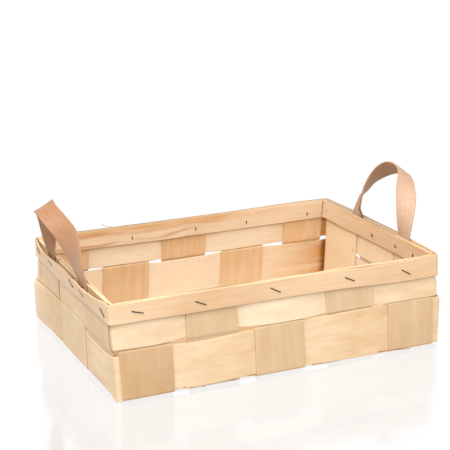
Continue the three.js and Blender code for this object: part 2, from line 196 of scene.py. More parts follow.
def ring_xy(s, line, radius, depth):
    """The plan of a band that goes round the basket, from the middle of the front, seen from above. line(s)
    gives how far its middle line lies outside the wall's middle surface, radius is that line's bend at the
    corners, and depth the distance outwards from the line. In a corner it goes on straight, round a quarter
    circle, and straight to where the next wall's run begins."""
    place = np.mod(s + SIDE_REACH, RING) - SIDE_REACH
    run = np.clip(np.searchsorted(RUN_STARTS, place, side="right") - 1, 0, 3)
    beyond = np.maximum(0, place - RUN_STARTS[run] - RUN_LENGTHS[run])
    along = np.minimum(place - RUN_STARTS[run], RUN_LENGTHS[run])
    here, ahead = line(s - beyond), line(s - beyond + ARC)
    first, last = CORNER_RADIUS + ahead - radius, CORNER_RADIUS + here - radius
    bend = radius * math.pi / 2
    walked = beyond / ARC * (first + bend + last)
    turn = np.clip((walked - first) / radius, 0, math.pi / 2)
    forward = along + np.clip(walked, 0, first) + (radius + depth) * np.sin(turn)
    outward = here + depth - (radius + depth) * (1 - np.cos(turn)) - np.clip(walked - first - bend, 0, last)
    angle = run * math.pi / 2
    x = RUN_FROM_X[run] + forward * np.cos(angle) + outward * np.sin(angle)
    y = RUN_FROM_Y[run] + forward * np.sin(angle) - outward * np.cos(angle)
    return x, y


def around(**walls):
    """A value that flows round the ring through (place, value) points given wall by wall."""
    points = sorted(
        (float(WALLS[wall](place)), value) for wall, line in walls.items() for place, value in line
    )
    laps = [(s + lap * RING, value) for lap in LAPS for s, value in points]
    return lambda s: flowing(s, laps)


# Heights of the bands' edges, which waver with the handwork
lower_bottom = around(
    front=[(-194, 1.2), (-186, 2.6), (-175, 4.2), (-110, 3.2), (-60, 4.2), (-10, 3.8), (40, 3.0),
           (90, 2.2), (150, 1.9)],
    right=[(-100, 2.6), (0, 3.4), (100, 2.4)],
    back=[(150, 1.6), (0, 1.4), (-150, 1.8)],
    left=[(100, 3.4), (0, 4.0), (-98, 4.4), (-112, 2.6), (-119, 1.4)],
)
lower_top = around(
    front=[(-196, 49.4), (-180, 50.8), (-134, 53.2), (-112, 52.1), (-57, 53.4), (-36, 54.4), (-6, 53.4),
           (24, 55.0), (54, 56.0), (113, 57.1), (134, 56.8), (165, 55.2), (192, 56.2)],
    right=[(-80, 55.2), (0, 53.0), (40, 52.6), (80, 53.2), (118, 52.6)],
    back=[(190, 51.0), (148, 51.8), (108, 53.0), (25, 52.6), (-10, 52.2), (-48, 52.0), (-115, 54.0),
          (-180, 53.6)],
    left=[(94, 53.6), (40, 52.6), (-10, 49.6), (-44, 47.2), (-86, 46.8), (-112, 47.6)],
)
upper_bottom = around(
    front=[(-196, 57.0), (-150, 56.2), (-134, 57.0), (-112, 59.2), (-85, 59.6), (-56, 59.7),
           (-36, 58.0), (-6, 57.2), (24, 57.6), (52, 58.8), (85, 59.6), (113, 58.8), (134, 58.4),
           (192, 58.2)],
    right=[(-80, 58.4), (0, 57.0), (40, 56.2), (80, 57.2)],
    back=[(185, 55.8), (160, 55.0), (137, 55.8), (120, 56.4), (98, 56.2), (75, 55.8), (48, 55.4),
          (36, 55.6), (24, 56.8), (-29, 55.4), (-60, 55.8), (-92, 56.2), (-133, 56.4), (-185, 57.4)],
    left=[(94, 58.0), (0, 56.4), (-94, 57.2)],
)
outer_rim_bottom = around(
    front=[(-190, 84.9), (-100, 84.5), (20, 84.8), (83, 83.9), (149, 81.8), (190, 81.9)],
    right=[(-60, 83.4), (60, 84.6)],
    back=[(120, 84.0), (-120, 84.8)],
    left=[(90, 84.2), (0, 83.6), (-90, 84.8)],
)
inner_rim_bottom = around(
    front=[(-120, 84.0), (120, 84.6)],
    right=[(-90, 84.8), (0, 84.2), (90, 83.4)],
    back=[(186, 84.5), (136, 84.1), (50, 83.4), (-37, 82.7), (-138, 83.8), (-186, 83.8)],
    left=[(70, 84.0), (-70, 83.6)],
)

# The tops of the two rims
outer_rim_top = around(
    front=[(-190, 105.3), (-164, 105.5), (-126, 106.4), (-101, 106.6), (-76, 106.9), (-39, 105.8),
           (-14, 105.4), (11, 106.0), (36, 105.8), (61, 106.0), (86, 104.9), (111, 103.8), (136, 103.7),
           (161, 104.9), (180, 106.6), (192, 107.0)],
    right=[(-60, 107.2), (0, 107.4), (60, 108.3), (118, 108.7)],
    back=[(186, 109.1), (120, 108.9), (70, 107.8), (0, 107.3), (-120, 107.1), (-180, 107.0)],
    left=[(118, 105.8), (104, 104.3), (50, 104.0), (-10, 104.2), (-70, 104.0), (-102, 104.6),
          (-116, 106.3)],
)
inner_rim_top = around(
    front=[(-190, 104.3), (-150, 104.6), (-126, 105.4), (-76, 105.9), (-39, 104.8), (-14, 104.4),
           (36, 104.8), (61, 105.0), (86, 103.9), (111, 102.8), (136, 102.8), (161, 103.9),
           (185, 106.0)],
    right=[(-60, 107.1), (0, 107.4), (60, 108.2), (118, 108.6)],
    back=[(186, 109.0), (120, 108.8), (70, 107.7), (0, 107.3), (-100, 107.0)],
    left=[(60, 107.1), (-60, 107.3)],
)

# How far the outer rim springs off the end walls, from (y, distance) points
LEFT_SPRING = [
    (-121, 0.4), (-109, 1.9), (-96, 3.7), (-79, 5.2), (-62, 6.2), (-50, 6.0), (-38, 5.0), (-27, 3.7),
    (-15, 2.5), (-3, 1.4), (9, 1.1), (26, 1.6), (38, 3.0), (59, 5.2), (77, 5.2), (97, 3.7), (109, 2.5),
    (121, 0.9),
]
RIGHT_SPRING = [
    (-121, 0), (-100, 1.4), (-66, 3.2), (-35, 4.2), (0, 3.4), (40, 2.9), (63, 2.6), (90, 1.3), (121, 0),
]
FLAT_SPRING = [(-1, 0), (1, 0)]  # of the long walls
FOOT_SPRING = 0.15  # share of that distance at the rim's bottom edge

# Natural warps
BULGE = 0.55  # of a crossing, outwards
BULGE_TOP = 84.0  # none above this, where the rim clamps the wall
BULGE_ROOM = 4.0  # past a strip's edges, where its swelling ends
FLOOR_BULGE = 0.7
UNEVEN = 0.7  # share by which one crossing's swelling may differ from the usual
SCATTER = (2.1, 3.7, 1.3)  # radians for each column, row and place, so that no two crossings are alike
SCATTER_PLACES = {"front": 0, "back": 1, "left": 2, "right": 3, "floor": 5}
LONG_WALL_FADE = (0.9, 0.98)  # shares of the half width between which a long wall's swelling fades in
END_WALL_FADE = (0.93, 0.98)
LONG_WALL_ROOM = 4.0  # past a long wall's straight part, where its swelling stops
RIGHT_SKEW = 0.6  # how much nearer the middle the right wall's top is at the back than at the front
SKEW_HEIGHTS = (50.0, 100.0)  # where the skew starts, and where it is full
# Outward bow of the left wall's top between the handle's legs, from (y, distance) points
LEFT_BOW = [(-36, 0), (-24, 1.7), (-10, 1.9), (5, 1.8), (20, 1.6), (38, 1.1), (50, 0)]
LEFT_BOW_HEIGHTS = (62.0, 96.0)
WAVE = 0.35  # of the long walls
WAVE_LENGTH = 61.0  # along x, for each radian
WAVE_START = 1.1  # in radians
# Corners pushed out along x: sides in x and y, then (height, distance) points
CORNER_PUSHES = [
    (1, -1, [(0, 3.0), (8, 3.5), (25, 5.0), (40, 6.3), (54, 6.7), (60, 4.2), (76, 4.0), (82, 2.0), (96, 2.3),
             (107, 1.7), (112, 0.9)]),
    (1, 1, [(0, 5.2), (20, 4.5), (50, 3.2), (70, 2.4), (100, 1.6), (112, 1.4)]),
    (-1, -1, [(0, 0), (25, 0.4), (50, 1.6), (60, 2.5), (82, 2.6), (86, 2.3), (112, 2.3)]),
    (-1, 1, [(0, 2.5), (10, 3.5), (30, 5.0), (53, 4.7), (60, 2.3), (76, 2.3), (84, 0.8), (112, 1.2)]),
]
PUSH_REACH = 66.0  # along the end wall
PUSH_FADE = (191.0, 196.5)  # distances from the middle between which a push fades in


def strip_middle(edges):
    """The left and the right edge of a cross strip, halfway between the front and the back."""
    (front_low, back_low), (front_high, back_high) = edges
    return (front_low + back_low) / 2, (front_high + back_high) / 2


def unevenness(column, row, place):
    """About 1, in no visible order: a sine of the column, the row and the wall or floor."""
    by_column, by_row, by_place = SCATTER
    return 1 + UNEVEN * math.sin(by_column * column + by_row * row + by_place * SCATTER_PLACES[place])


def wall_bulge(along, z, columns, wall):
    """Outward swelling of a wall: a hump for each crossing of a strip and a weaver."""
    total = 0
    for row, (low, high) in enumerate((LOWER_ROW, (UPPER_ROW[0], BULGE_TOP))):
        for column, (start, end) in enumerate(columns):
            size = BULGE * unevenness(column, row, wall)
            over_strip = hump(along, start - BULGE_ROOM, end + BULGE_ROOM)
            total = total + size * over_strip * hump(z, low, high)
    return total


def floor_bulge(x, y):
    """Upward swelling of the floor: a hump for each crossing of two strips."""
    total = 0
    for column, edges in enumerate(CROSS_STRIPS):
        start, end = strip_middle(edges)
        for row, (near, far) in enumerate(LONG_STRIPS):
            size = FLOOR_BULGE * unevenness(column, row, "floor")
            over_strip = hump(x, max(start, -SIDE_REACH), min(end, SIDE_REACH))
            total = total + size * over_strip * hump(y, near, far)
    return total


def swellings(x, y, z):
    """Outward swelling of the end walls, along x, and of the long walls, along y. Each fades in close to its
    own walls."""
    columns = [strip_middle(edges) for edges in CROSS_STRIPS]
    on_end_wall = between(np.abs(x) / HALF_LENGTH, *END_WALL_FADE) * (np.abs(y) < END_REACH)
    on_long_wall = between(np.abs(y) / HALF_WIDTH, *LONG_WALL_FADE)
    on_long_wall = on_long_wall * (np.abs(x) < SIDE_REACH + LONG_WALL_ROOM)
    left, right = (wall_bulge(y, z, LONG_STRIPS, wall) for wall in ("left", "right"))
    front, back = (wall_bulge(x, z, columns, wall) for wall in ("front", "back"))
    return np.where(x < 0, left, right) * on_end_wall, np.where(y < 0, front, back) * on_long_wall


def corner_push(x, y, z):
    """How far the corners are pushed out: distances that flow over the height, and fade along the end
    wall."""
    push = 0
    for side_x, side_y, distances in CORNER_PUSHES:
        near_end = between(x * side_x, *PUSH_FADE)
        near_corner = between(y * side_y, HALF_WIDTH - PUSH_REACH, HALF_WIDTH)
        push = push + flowing(z, distances) * near_end * near_corner
    return push


def settle(x, y, z):
    """Moves points drawn on upright walls to where they are. The long walls spread by a share of y that falls
    with height, the end walls bow out by a parabola over y, corners are pushed out and crossings swell."""
    x, y, z = np.broadcast_arrays(x, y, z)
    rise = np.clip(z / RIM_TOP, 0, 1)
    spread = (FLOOR_WIDTH / 2 / (HALF_WIDTH + WALL_HALF) - 1) * (1 - rise)
    towards_end = np.minimum(1, np.abs(x) / HALF_LENGTH) ** 4
    bow = END_BOW * (FLOOR_BOW_SHARE + (1 - FLOOR_BOW_SHARE) * rise)
    bow = bow * towards_end * np.maximum(0, 1 - (y / HALF_WIDTH) ** 2)
    left_bow = flowing(y, LEFT_BOW) * between(z, *LEFT_BOW_HEIGHTS) * towards_end * (x < 0)
    skew = RIGHT_SKEW * (y / HALF_WIDTH + 1) / 2 * (np.clip(x, 0, None) / HALF_LENGTH) ** 2
    skew = skew * between(z, *SKEW_HEIGHTS)
    wave = WAVE * rise * np.sin(x / WAVE_LENGTH + WAVE_START) * np.abs(y / HALF_WIDTH)
    end_swelling, long_swelling = swellings(x, y, z)
    outwards = bow + end_swelling + left_bow + corner_push(x, y, z)
    new_x = x + np.sign(x) * outwards - skew
    new_y = y * (1 + spread) + np.sign(y) * long_swelling + wave
    return new_x, new_y, z + floor_bulge(x, y) * (z < BEND_RADIUS)


# Meshes

FACE_STEP = 3.0  # between the rows of points across a splint's face
EDGE_REACH = 1.5  # of the ease, from a cut edge: rows that close look partly cut
PARTLY_CUT = 0.6
END_ROOM = 0.6  # from a band's end to the next point
LEAST_STEP = 0.25
PLAIN_FIGURE = 0.3  # strength of the growth lines on most bands
SHEET_SLANT = 3  # how far along the grain the next sheet is cut, for each step across it
SHARP_BAND = math.radians(52)  # a bend past this stays a sharp edge
SHARP_WIRE = math.radians(60)


def new_mesh(name, points, faces):
    """A mesh of points in millimetres."""
    mesh = bpy.data.meshes.new(name)
    mesh.from_pydata((points * MM).tolist(), [], faces)
    return mesh


def map_grain(mesh, uv):
    """Gives each point its place on the grain map, in millimetres."""
    corners = np.empty(len(mesh.loops), dtype=np.int32)
    mesh.loops.foreach_get("vertex_index", corners)
    layer = mesh.uv_layers.new(name="grain")
    layer.data.foreach_set("uv", (uv[corners] * MM).astype(np.float32).ravel())


def give(mesh, look, values):
    """Gives each point a value that the material reads."""
    attribute = mesh.attributes.new(look, "FLOAT", "POINT")
    attribute.data.foreach_set("value", values.astype(np.float32).ravel())


def shade_smooth(mesh, sharp_angle):
    """Smooth shading, with sharp edges where faces meet at more than an angle."""
    mesh.polygons.foreach_set("use_smooth", np.ones(len(mesh.polygons), dtype=bool))
    mesh.set_sharp_from_angle(angle=sharp_angle)


def add_piece(name, node, mesh, material):
    """Puts a mesh in the scene as a piece of the basket, which may stand for a node of the frame."""
    mesh.materials.append(material)
    piece = bpy.data.objects.new(name, mesh)
    bpy.context.scene.collection.objects.link(piece)
    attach(piece, BODY)
    if node:
        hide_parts(node)


def band_section(width, thickness, step, ease):
    """Once round the section of a flat band: across the outer face, over one cut edge, back across the
    inner face and over the other edge. Gives each point's share of the width, its offset from the middle
    and how much of a cut edge it is."""
    half = thickness / 2
    rows = np.linspace(FLAT_ROW, width - FLAT_ROW, max(2, round(width / step)))
    face = np.concatenate(([ease], rows, [width - ease])) / width
    share = np.concatenate((face, [1, 1], face[::-1], [0, 0]))
    flat = np.full(len(face), half)
    offset = np.concatenate((flat, [half - ease, ease - half], -flat, [ease - half, half - ease]))
    reach = EDGE_REACH * ease / width
    soft = np.where((face < reach) | (face > 1 - reach), PARTLY_CUT, 0.0)
    cut = np.concatenate((soft, [1, 1], soft, [1, 1]))
    return share, offset, cut


def band_faces(rounds, points):
    """Quads of a grid that closes round the section, and of its two ends."""
    grid = np.arange(rounds * points).reshape(rounds, points)
    turned = np.roll(grid, -1, axis=1)
    sides = np.stack((grid[:-1], grid[1:], turned[1:], turned[:-1]), axis=-1).reshape(-1, 4)
    face = (points - 4) // 2
    outer, inner = np.arange(face), 2 * face + 1 - np.arange(face)
    across = np.stack((outer[:-1], inner[:-1], inner[1:], outer[1:]), axis=-1)
    low_edge = [[2 * face + 3, 2 * face + 2, 2 * face + 1, 0]]
    high_edge = [[face - 1, face + 2, face + 1, face]]
    end = np.concatenate((across, low_edge, high_edge))
    return np.concatenate((sides, end[:, ::-1], end + (rounds - 1) * points))


def plain_figure(s):
    """Growth lines as strong as on most bands, all along."""
    return PLAIN_FIGURE + 0.0 * s


def nowhere(s):
    """For a look that a band doesn't have."""
    return 0.0 * s


def whole_width(share):
    """For painted bounce light and shade that is as strong at every share of a band's width."""
    return 1.0 + 0.0 * share


def add_band(name, node, slot, material, s, width, thickness, place, tone, step=FACE_STEP, ease=EASE,
             sheet=0.0, figure=plain_figure, stain=nowhere, stain_fade=whole_width, dull=nowhere):
    """A flat band with eased edges. place(s, share, offset) gives x, y and z, tone(s) and figure(s) what the
    wood looks like there. Two more functions of s give how much painted bounce light and painted shade its
    inner face has, faded over the share of the width by a third, and how much painted shade darkens its cut
    edges. sheet is where on the grain map it was cut from."""
    share, offset, cut = band_section(width, thickness, step, ease)
    shape = (len(s), len(share))
    along, share, offset = s[:, None], share[None, :], offset[None, :]
    points = np.stack(np.broadcast_arrays(*place(along, share, offset)), axis=-1).reshape(-1, 3)
    mesh = new_mesh(name, points, band_faces(*shape).tolist())
    uv = np.stack(np.broadcast_arrays(along + SHEET_SLANT * sheet, share * width + sheet), axis=-1)
    map_grain(mesh, uv.reshape(-1, 2))
    edge = np.tile(cut, (len(s), 1))
    edge[[0, -1]] = 1
    # painted bounce light and shade go on the inner face only
    inside = stain_fade(share) * (offset < 0)
    looks = {"tone": tone(along), "figure": figure(along), "stain": stain(along) * inside, "edge": edge,
             "dull": dull(along)}
    for look, values in looks.items():
        give(mesh, look, np.broadcast_to(values, shape))
    shade_smooth(mesh, SHARP_BAND)
    mesh.validate()
    add_piece(name, node, mesh, material)


def stations(start, end, step, fine_zones, fine_step):
    """Places along a band: evenly spread, closer inside the zones, and two close to each end."""
    places = [np.arange(start, end, step), [start + END_ROOM, end - END_ROOM, end]]
    places += [np.arange(max(start, low), min(end, high), fine_step) for low, high in fine_zones]
    ordered = np.unique(np.concatenate(places))
    return ordered[np.concatenate(([True], np.diff(ordered) > LEAST_STEP))]


# Materials

# Sockets of a Mix node that mixes colours, and of a Map Range node
MIX_A, MIX_B, MIX_COLOUR = 6, 7, 2
LOW, HIGH, NEW_LOW, NEW_HIGH = 1, 2, 3, 4
# Lengths and widths of the wood's patterns in millimetres, along and across the grain
SWAY = (160, 46)
FADING = (70, 9)
BLOTCHES = (55, 7)
PORES = (2.4, 0.6)
FIBRES = (24, 0.9)
SWAY_TURNS = 4.0  # by how many line spacings the growth lines sway
RELIEF = 0.3  # height of the fibres in millimetres
ROUGHNESS_SPREAD = 0.07
WOOD_IOR = 1.5
WOOD_SPECULAR = 0.35  # dry, open wood reflects less than a closed surface
# Painted bounce light, a warm colour for the light inside the basket, and painted shade, a dark one for its
# shaded corners and splinters
PAINTED_BOUNCE_LIGHT = "CE9244"
PAINTED_SHADE = "70400F"
# Painted shade on cut edges that lie in shadow
EDGE_SHADE_COLOUR = "6E553B"
# What the patterns and edges are stretched from and to, by socket of a Map Range node
PATCHY = {LOW: 0.35, HIGH: 0.65}
BLOTCHY = {LOW: 0.3, HIGH: 0.6, NEW_LOW: 0.3, NEW_HIGH: 0.7}
DEEP = {LOW: 1.2, HIGH: 2.0}
WORN = {LOW: 0.4, HIGH: 1.0, NEW_HIGH: 0.6}
DARKENED = {LOW: 0.5, HIGH: 0.9}
PORE_DEPTHS = {LOW: 0.54, HIGH: 0.7}
FIBRE_DEPTHS = {LOW: 0.2, HIGH: 0.8}
KNOT_HEART = 0.3  # share of a knot's radius over which it is darkest
KNOT_STRENGTH = 0.75
BUMP_STRENGTH = 0.35
STREAK_RELIEF = 0.7  # of the first streaks, for each unit of the fibres' relief
ZINC_PATCH = 10 / 9  # size of the patches on the wire, in millimetres
WIRE_ROUGHNESS = {LOW: 0.3, HIGH: 0.7, NEW_LOW: 0.5, NEW_HIGH: 0.34}
WIRE_METALLIC = 0.6  # the dark oxide on it is no metal


def srgb(code):
    """A hex colour as linear red, green, blue and alpha."""
    parts = [int(code[i : i + 2], 16) / 255 for i in (0, 2, 4)]
    return [part / 12.92 if part <= 0.04045 else ((part + 0.055) / 1.055) ** 2.4 for part in parts] + [1.0]


def add(tree, kind, inputs=None, **settings):
    """Adds a node. inputs gives each socket a value or another node's socket to read."""
    node = tree.nodes.new(kind)
    for key, value in settings.items():
        setattr(node, key, value)
    for socket, value in (inputs or {}).items():
        if isinstance(value, bpy.types.NodeSocket):
            tree.links.new(value, node.inputs[socket])
        else:
            node.inputs[socket].default_value = value
    return node.outputs


def new_material(name):
    """A material without nodes, and its node tree."""
    material = bpy.data.materials.new(name)
    material.use_nodes = True
    material.node_tree.nodes.clear()
    return material, material.node_tree


def streaks_along(tree, grain, size, detail, rough=0.5):
    """Noise from 0 to 1, in streaks of about a (length, width) in millimetres."""
    length, width = size
    stretch = (1 / (length * MM), 1 / (width * MM), 0)
    scaled = add(tree, "ShaderNodeVectorMath", {0: grain, 1: stretch}, operation="MULTIPLY")["Vector"]
    inputs = {"Vector": scaled, "Scale": 1.0, "Detail": detail, "Roughness": rough}
    return add(tree, "ShaderNodeTexNoise", inputs, noise_dimensions="2D")["Fac"]


def sum_of(tree, base, *terms):
    """base plus each (value, factor, centre) term's factor times the value less its centre."""
    total = base
    for value, factor, centre in terms:
        inputs = {0: value, 1: factor, 2: -factor * centre}
        scaled = add(tree, "ShaderNodeMath", inputs, operation="MULTIPLY_ADD")[0]
        total = add(tree, "ShaderNodeMath", {0: total, 1: scaled}, operation="ADD")[0]
    return total


def growth_lines(tree, grain, figure, spacing, strength):
    """Half waves a spacing apart across the grain, which sway, fade in patches and are as strong as the
    figure says."""
    across = add(tree, "ShaderNodeSeparateXYZ", {0: grain})["Y"]
    sway = streaks_along(tree, grain, SWAY, 2)
    turns = sum_of(tree, 0.0, (across, 1 / (spacing * MM), 0), (sway, SWAY_TURNS, 0.5))
    angle = add(tree, "ShaderNodeMath", {0: turns, 1: math.tau}, operation="MULTIPLY")[0]
    lines = add(tree, "ShaderNodeMath", {0: angle}, operation="SINE", use_clamp=True)[0]
    patches = streaks_along(tree, grain, FADING, 2)
    patches = add(tree, "ShaderNodeMapRange", {0: patches, **PATCHY})[0]
    for factor in (patches, figure):
        lines = add(tree, "ShaderNodeMath", {0: lines, 1: factor}, operation="MULTIPLY", use_clamp=True)[0]
    return add(tree, "ShaderNodeMath", {0: lines, 1: strength}, operation="MULTIPLY")[0]


def stains(tree, grain, stain):
    """Painted bounce light: a warm colour that grows in blotches with the value, and over it painted shade, a
    dark one, where the value is high.
    """
    blotches = streaks_along(tree, grain, BLOTCHES, 3)
    blotches = add(tree, "ShaderNodeMapRange", {0: blotches, **BLOTCHY})[0]
    warm = add(tree, "ShaderNodeMath", {0: stain, 1: blotches}, operation="MULTIPLY")[0]
    deep = add(tree, "ShaderNodeMapRange", {0: stain, **DEEP})[0]
    return [(warm, PAINTED_BOUNCE_LIGHT), (deep, PAINTED_SHADE)]


def open_pores(tree, grain, strength):
    """Short dark dashes along the grain."""
    pores = streaks_along(tree, grain, PORES, 2, 0.7)
    return add(tree, "ShaderNodeMapRange", {0: pores, **PORE_DEPTHS, NEW_HIGH: strength})[0]


def knot(tree, grain, u, v, radius):
    """A round spot, strongest in its heart and gone at its radius."""
    inputs = {0: grain, 1: (u * MM, v * MM, 0)}
    distance = add(tree, "ShaderNodeVectorMath", inputs, operation="DISTANCE")["Value"]
    heart, rim = KNOT_HEART * radius * MM, radius * MM
    inputs = {0: distance, LOW: heart, HIGH: rim, NEW_LOW: KNOT_STRENGTH, NEW_HIGH: 0.0}
    return add(tree, "ShaderNodeMapRange", inputs)[0]


def cut_edges(tree, edge, dull, cut):
    """The cut colour on the edges, and over it a dark colour of painted shade, as strong as the shade value
    says.
    """
    worn = add(tree, "ShaderNodeMapRange", {0: edge, **WORN})[0]
    dark = add(tree, "ShaderNodeMapRange", {0: edge, **DARKENED})[0]
    dark = add(tree, "ShaderNodeMath", {0: dark, 1: dull}, operation="MULTIPLY")[0]
    return [(worn, cut), (dark, EDGE_SHADE_COLOUR)]


def wood(name, dark, pale, cut, line, streaks, growth=0.0, rings_width=7.0, pores=0.0, roughness=0.62,
         knots=()):
    """Wood with its grain along the map's u. The attribute tone goes from the dark to the pale colour, and
    streaks of (length, width, strength) shift it. Growth lines, as strong as the attribute figure says, pores
    and knots take the line colour, and cut edges the cut colour. Painted bounce light and painted shade
    follow one more attribute, and painted shade on the cut edges another. Each (cover, colour) goes over the
    last."""
    material, tree = new_material(name)
    grain = add(tree, "ShaderNodeUVMap", uv_map="grain")["UV"]
    looks = ("tone", "figure", "stain", "edge", "dull")
    tone, figure, stain, edge, dull = (
        add(tree, "ShaderNodeAttribute", attribute_name=look)["Fac"] for look in looks
    )
    shifts = [(streaks_along(tree, grain, size, 3, 0.55), strength, 0.5) for *size, strength in streaks]
    covers = [(sum_of(tree, tone, *shifts), pale)]
    covers += [(growth_lines(tree, grain, figure, rings_width, growth), line)]
    covers += stains(tree, grain, stain)
    if pores:
        covers += [(open_pores(tree, grain, pores), line)]
    covers += [(knot(tree, grain, *place), line) for place in knots]
    covers += cut_edges(tree, edge, dull, cut)
    colour = srgb(dark)
    for cover, paint in covers:
        inputs = {0: cover, MIX_A: colour, MIX_B: srgb(paint)}
        colour = add(tree, "ShaderNodeMix", inputs, data_type="RGBA")[MIX_COLOUR]
    fibres = streaks_along(tree, grain, FIBRES, 3, 0.6)
    relief = sum_of(tree, 0.0, (fibres, 1.0, 0.5), (shifts[0][0], STREAK_RELIEF, 0.5))
    inputs = {"Height": relief, "Strength": BUMP_STRENGTH, "Distance": RELIEF * MM}
    bump = add(tree, "ShaderNodeBump", inputs)["Normal"]
    low, high = roughness - ROUGHNESS_SPREAD, roughness + ROUGHNESS_SPREAD
    inputs = {0: fibres, **FIBRE_DEPTHS, NEW_LOW: low, NEW_HIGH: high}
    gloss = add(tree, "ShaderNodeMapRange", inputs)[0]
    inputs = {"Base Color": colour, "Roughness": gloss, "Normal": bump, "IOR": WOOD_IOR,
              "Specular IOR Level": WOOD_SPECULAR}
    shader = add(tree, "ShaderNodeBsdfPrincipled", inputs)
    add(tree, "ShaderNodeOutputMaterial", {"Surface": shader["BSDF"]})
    return material


# Knots: place along and across the grain map, and radius
WEAVER_KNOTS = [(2585.4, 927.7, 1.4), (3949.0, 1306.5, 1.6)]
STRIP_KNOTS = [(2143.2, 700.7, 2.0)]

# Aspen peeled into thin splints: pale, dry and hardly glossy. The strips across are from redder wood than the
# weavers and show fine long streaks, the weavers a soft mottle of short ones.
strip_wood = wood("peeled_aspen_strip", "B08A5F", "E6CFAE", "DDBF92", "94683C",
                  streaks=[(120, 9, 0.22), (70, 2.4, 0.1), (45, 22, 0.25)], growth=0.1, rings_width=17,
                  knots=STRIP_KNOTS)
weaver_wood = wood("peeled_aspen_weaver", "C29A68", "ECDCC2", "E2CBA6", "A87C48",
                   streaks=[(26, 7, 0.3), (60, 20, 0.35), (40, 1.6, 0.12)], growth=0.16, rings_width=19,
                   knots=WEAVER_KNOTS)
# The same wood sawn for the rims, with brown growth lines and finer streaks.
rim_wood = wood("sawn_aspen_rim", "B98A5A", "E6CFB0", "CFAA76", "AE6A2A",
                streaks=[(110, 3.6, 0.22), (40, 1.5, 0.14), (60, 14, 0.25)], growth=0.6, rings_width=7)
# Steamed beech, pinkish brown, with short dark pores and pale fibres.
handle_wood = wood("steam_bent_beech_handle", "96663F", "CDAE95", "C69C78", "6E462C",
                   streaks=[(50, 4, 0.2), (16, 0.9, 0.3), (5, 2.2, 0.15)], pores=0.5, roughness=0.55)


def steel_wire():
    """Zinc-coated steel wire that has turned dark, with slightly paler and glossier patches."""
    material, tree = new_material("zinc_coated_steel_wire")
    place = add(tree, "ShaderNodeTexCoord")["Object"]
    inputs = {"Vector": place, "Scale": 1 / (ZINC_PATCH * MM), "Detail": 2.0}
    patches = add(tree, "ShaderNodeTexNoise", inputs)["Fac"]
    share = add(tree, "ShaderNodeMapRange", {0: patches, **PATCHY})[0]
    inputs = {0: share, MIX_A: srgb("2E2820"), MIX_B: srgb("4C443A")}
    colour = add(tree, "ShaderNodeMix", inputs, data_type="RGBA")[MIX_COLOUR]
    gloss = add(tree, "ShaderNodeMapRange", {0: patches, **WIRE_ROUGHNESS})[0]
    inputs = {"Base Color": colour, "Roughness": gloss, "Metallic": WIRE_METALLIC}
    shader = add(tree, "ShaderNodeBsdfPrincipled", inputs)
    add(tree, "ShaderNodeOutputMaterial", {"Surface": shader["BSDF"]})
    return material


wire_steel = steel_wire()


# Strips

WALL_STEP = 2.6
BEND_STEP = 0.7  # where a strip bends or changes sides
PAST_BEND = 7.0  # how far up from the foot of a wall points are that close
BEFORE_BEND = 2.0
SWITCH_ROOM = 0.25  # between a weaver's edge and where a strip starts to change sides
LEAST_SWITCH = 2.2  # height over which a strip changes sides at least
SWITCH_SAMPLES = 9  # places over a strip's width where that is checked
SWITCH_PAD = 1.0  # closer points before and after a change of sides
INSIDE_RIGHT = 2  # the long strip that is inside both weavers on the right wall
WAVER = 0.25  # of the strips' edges
LEFT_WAVER, RIGHT_WAVER, LONG_WAVER = 23.0, 29.0, 27.0  # its length for each radian
SHEET_SPACING = 70.0  # between the places on the grain map that the strips are cut from
FIRST_LONG_SHEET = 7

# Tones, from 0 for dark to 1 for pale: top and foot at the front, then foot and top at the back. They are the
# wood's own and also painted light: paler at the back, whose inner face is seen, for the light inside
STRIP_TONES = [
    (0.28, 0.14, 0.7, 0.8), (0.32, 0.35, 0.8, 0.8), (0.35, 0.3, 0.8, 0.85), (0.36, 0.35, 0.95, 0.8),
    (0.35, 0.29, 1.1, 1.15),
]
STRIP_TONE_PLACES = (-230, -130, -100, 100, 130, 230)
# The same for the long strips, from left to right, with painted light that makes them paler on the right
# wall, whose inner face is seen
LONG_TONES = [(0.48, 0.46, 0.9, 0.9), (0.58, 0.58, 0.9, 0.95), (0.5, 0.5, 1.1, 1.1)]
LONG_TONE_PLACES = (-290, -200, -170, 170, 200, 290)
FLOOR_TONE = 0.15  # painted shade: the strips are dark on the floor, which looks shadowed through the holes in the front wall
BACK_BOUNCE_LIGHT = 0.6  # painted bounce light on the cross strips at the back, seen from inside


def strip_path(half_span, s, offset):
    """The side view of a strip: along the floor, round a quarter circle and up the wall, on both sides.
    s is the distance from the floor's middle. Gives the distance across and the height."""
    floor_run = half_span - BEND_RADIUS
    bend_run = BEND_RADIUS * math.pi / 2
    turn = np.clip((np.abs(s) - floor_run) / bend_run, 0, 1) * math.pi / 2
    climb = np.maximum(0, np.abs(s) - floor_run - bend_run)
    radius = BEND_RADIUS + offset
    across = np.minimum(np.abs(s), floor_run) + radius * np.sin(turn)
    return np.sign(s) * across, FLOOR_MIDDLE + BEND_RADIUS - radius * np.cos(turn) + climb


def on_wall(half_span, height):
    """How far along a strip from the floor's middle it reaches a height."""
    return half_span - BEND_RADIUS + BEND_RADIUS * math.pi / 2 + height - WALL_FOOT


def switch_heights(wall, start, end):
    """Where a strip changes sides between the two weavers: just clear of both over its whole width."""
    s = WALLS[wall](np.linspace(start, end, SWITCH_SAMPLES))
    low, high = lower_top(s).max() + SWITCH_ROOM, upper_bottom(s).min() - SWITCH_ROOM
    middle, half = (low + high) / 2, max(high - low, LEAST_SWITCH) / 2
    return middle - half, middle + half


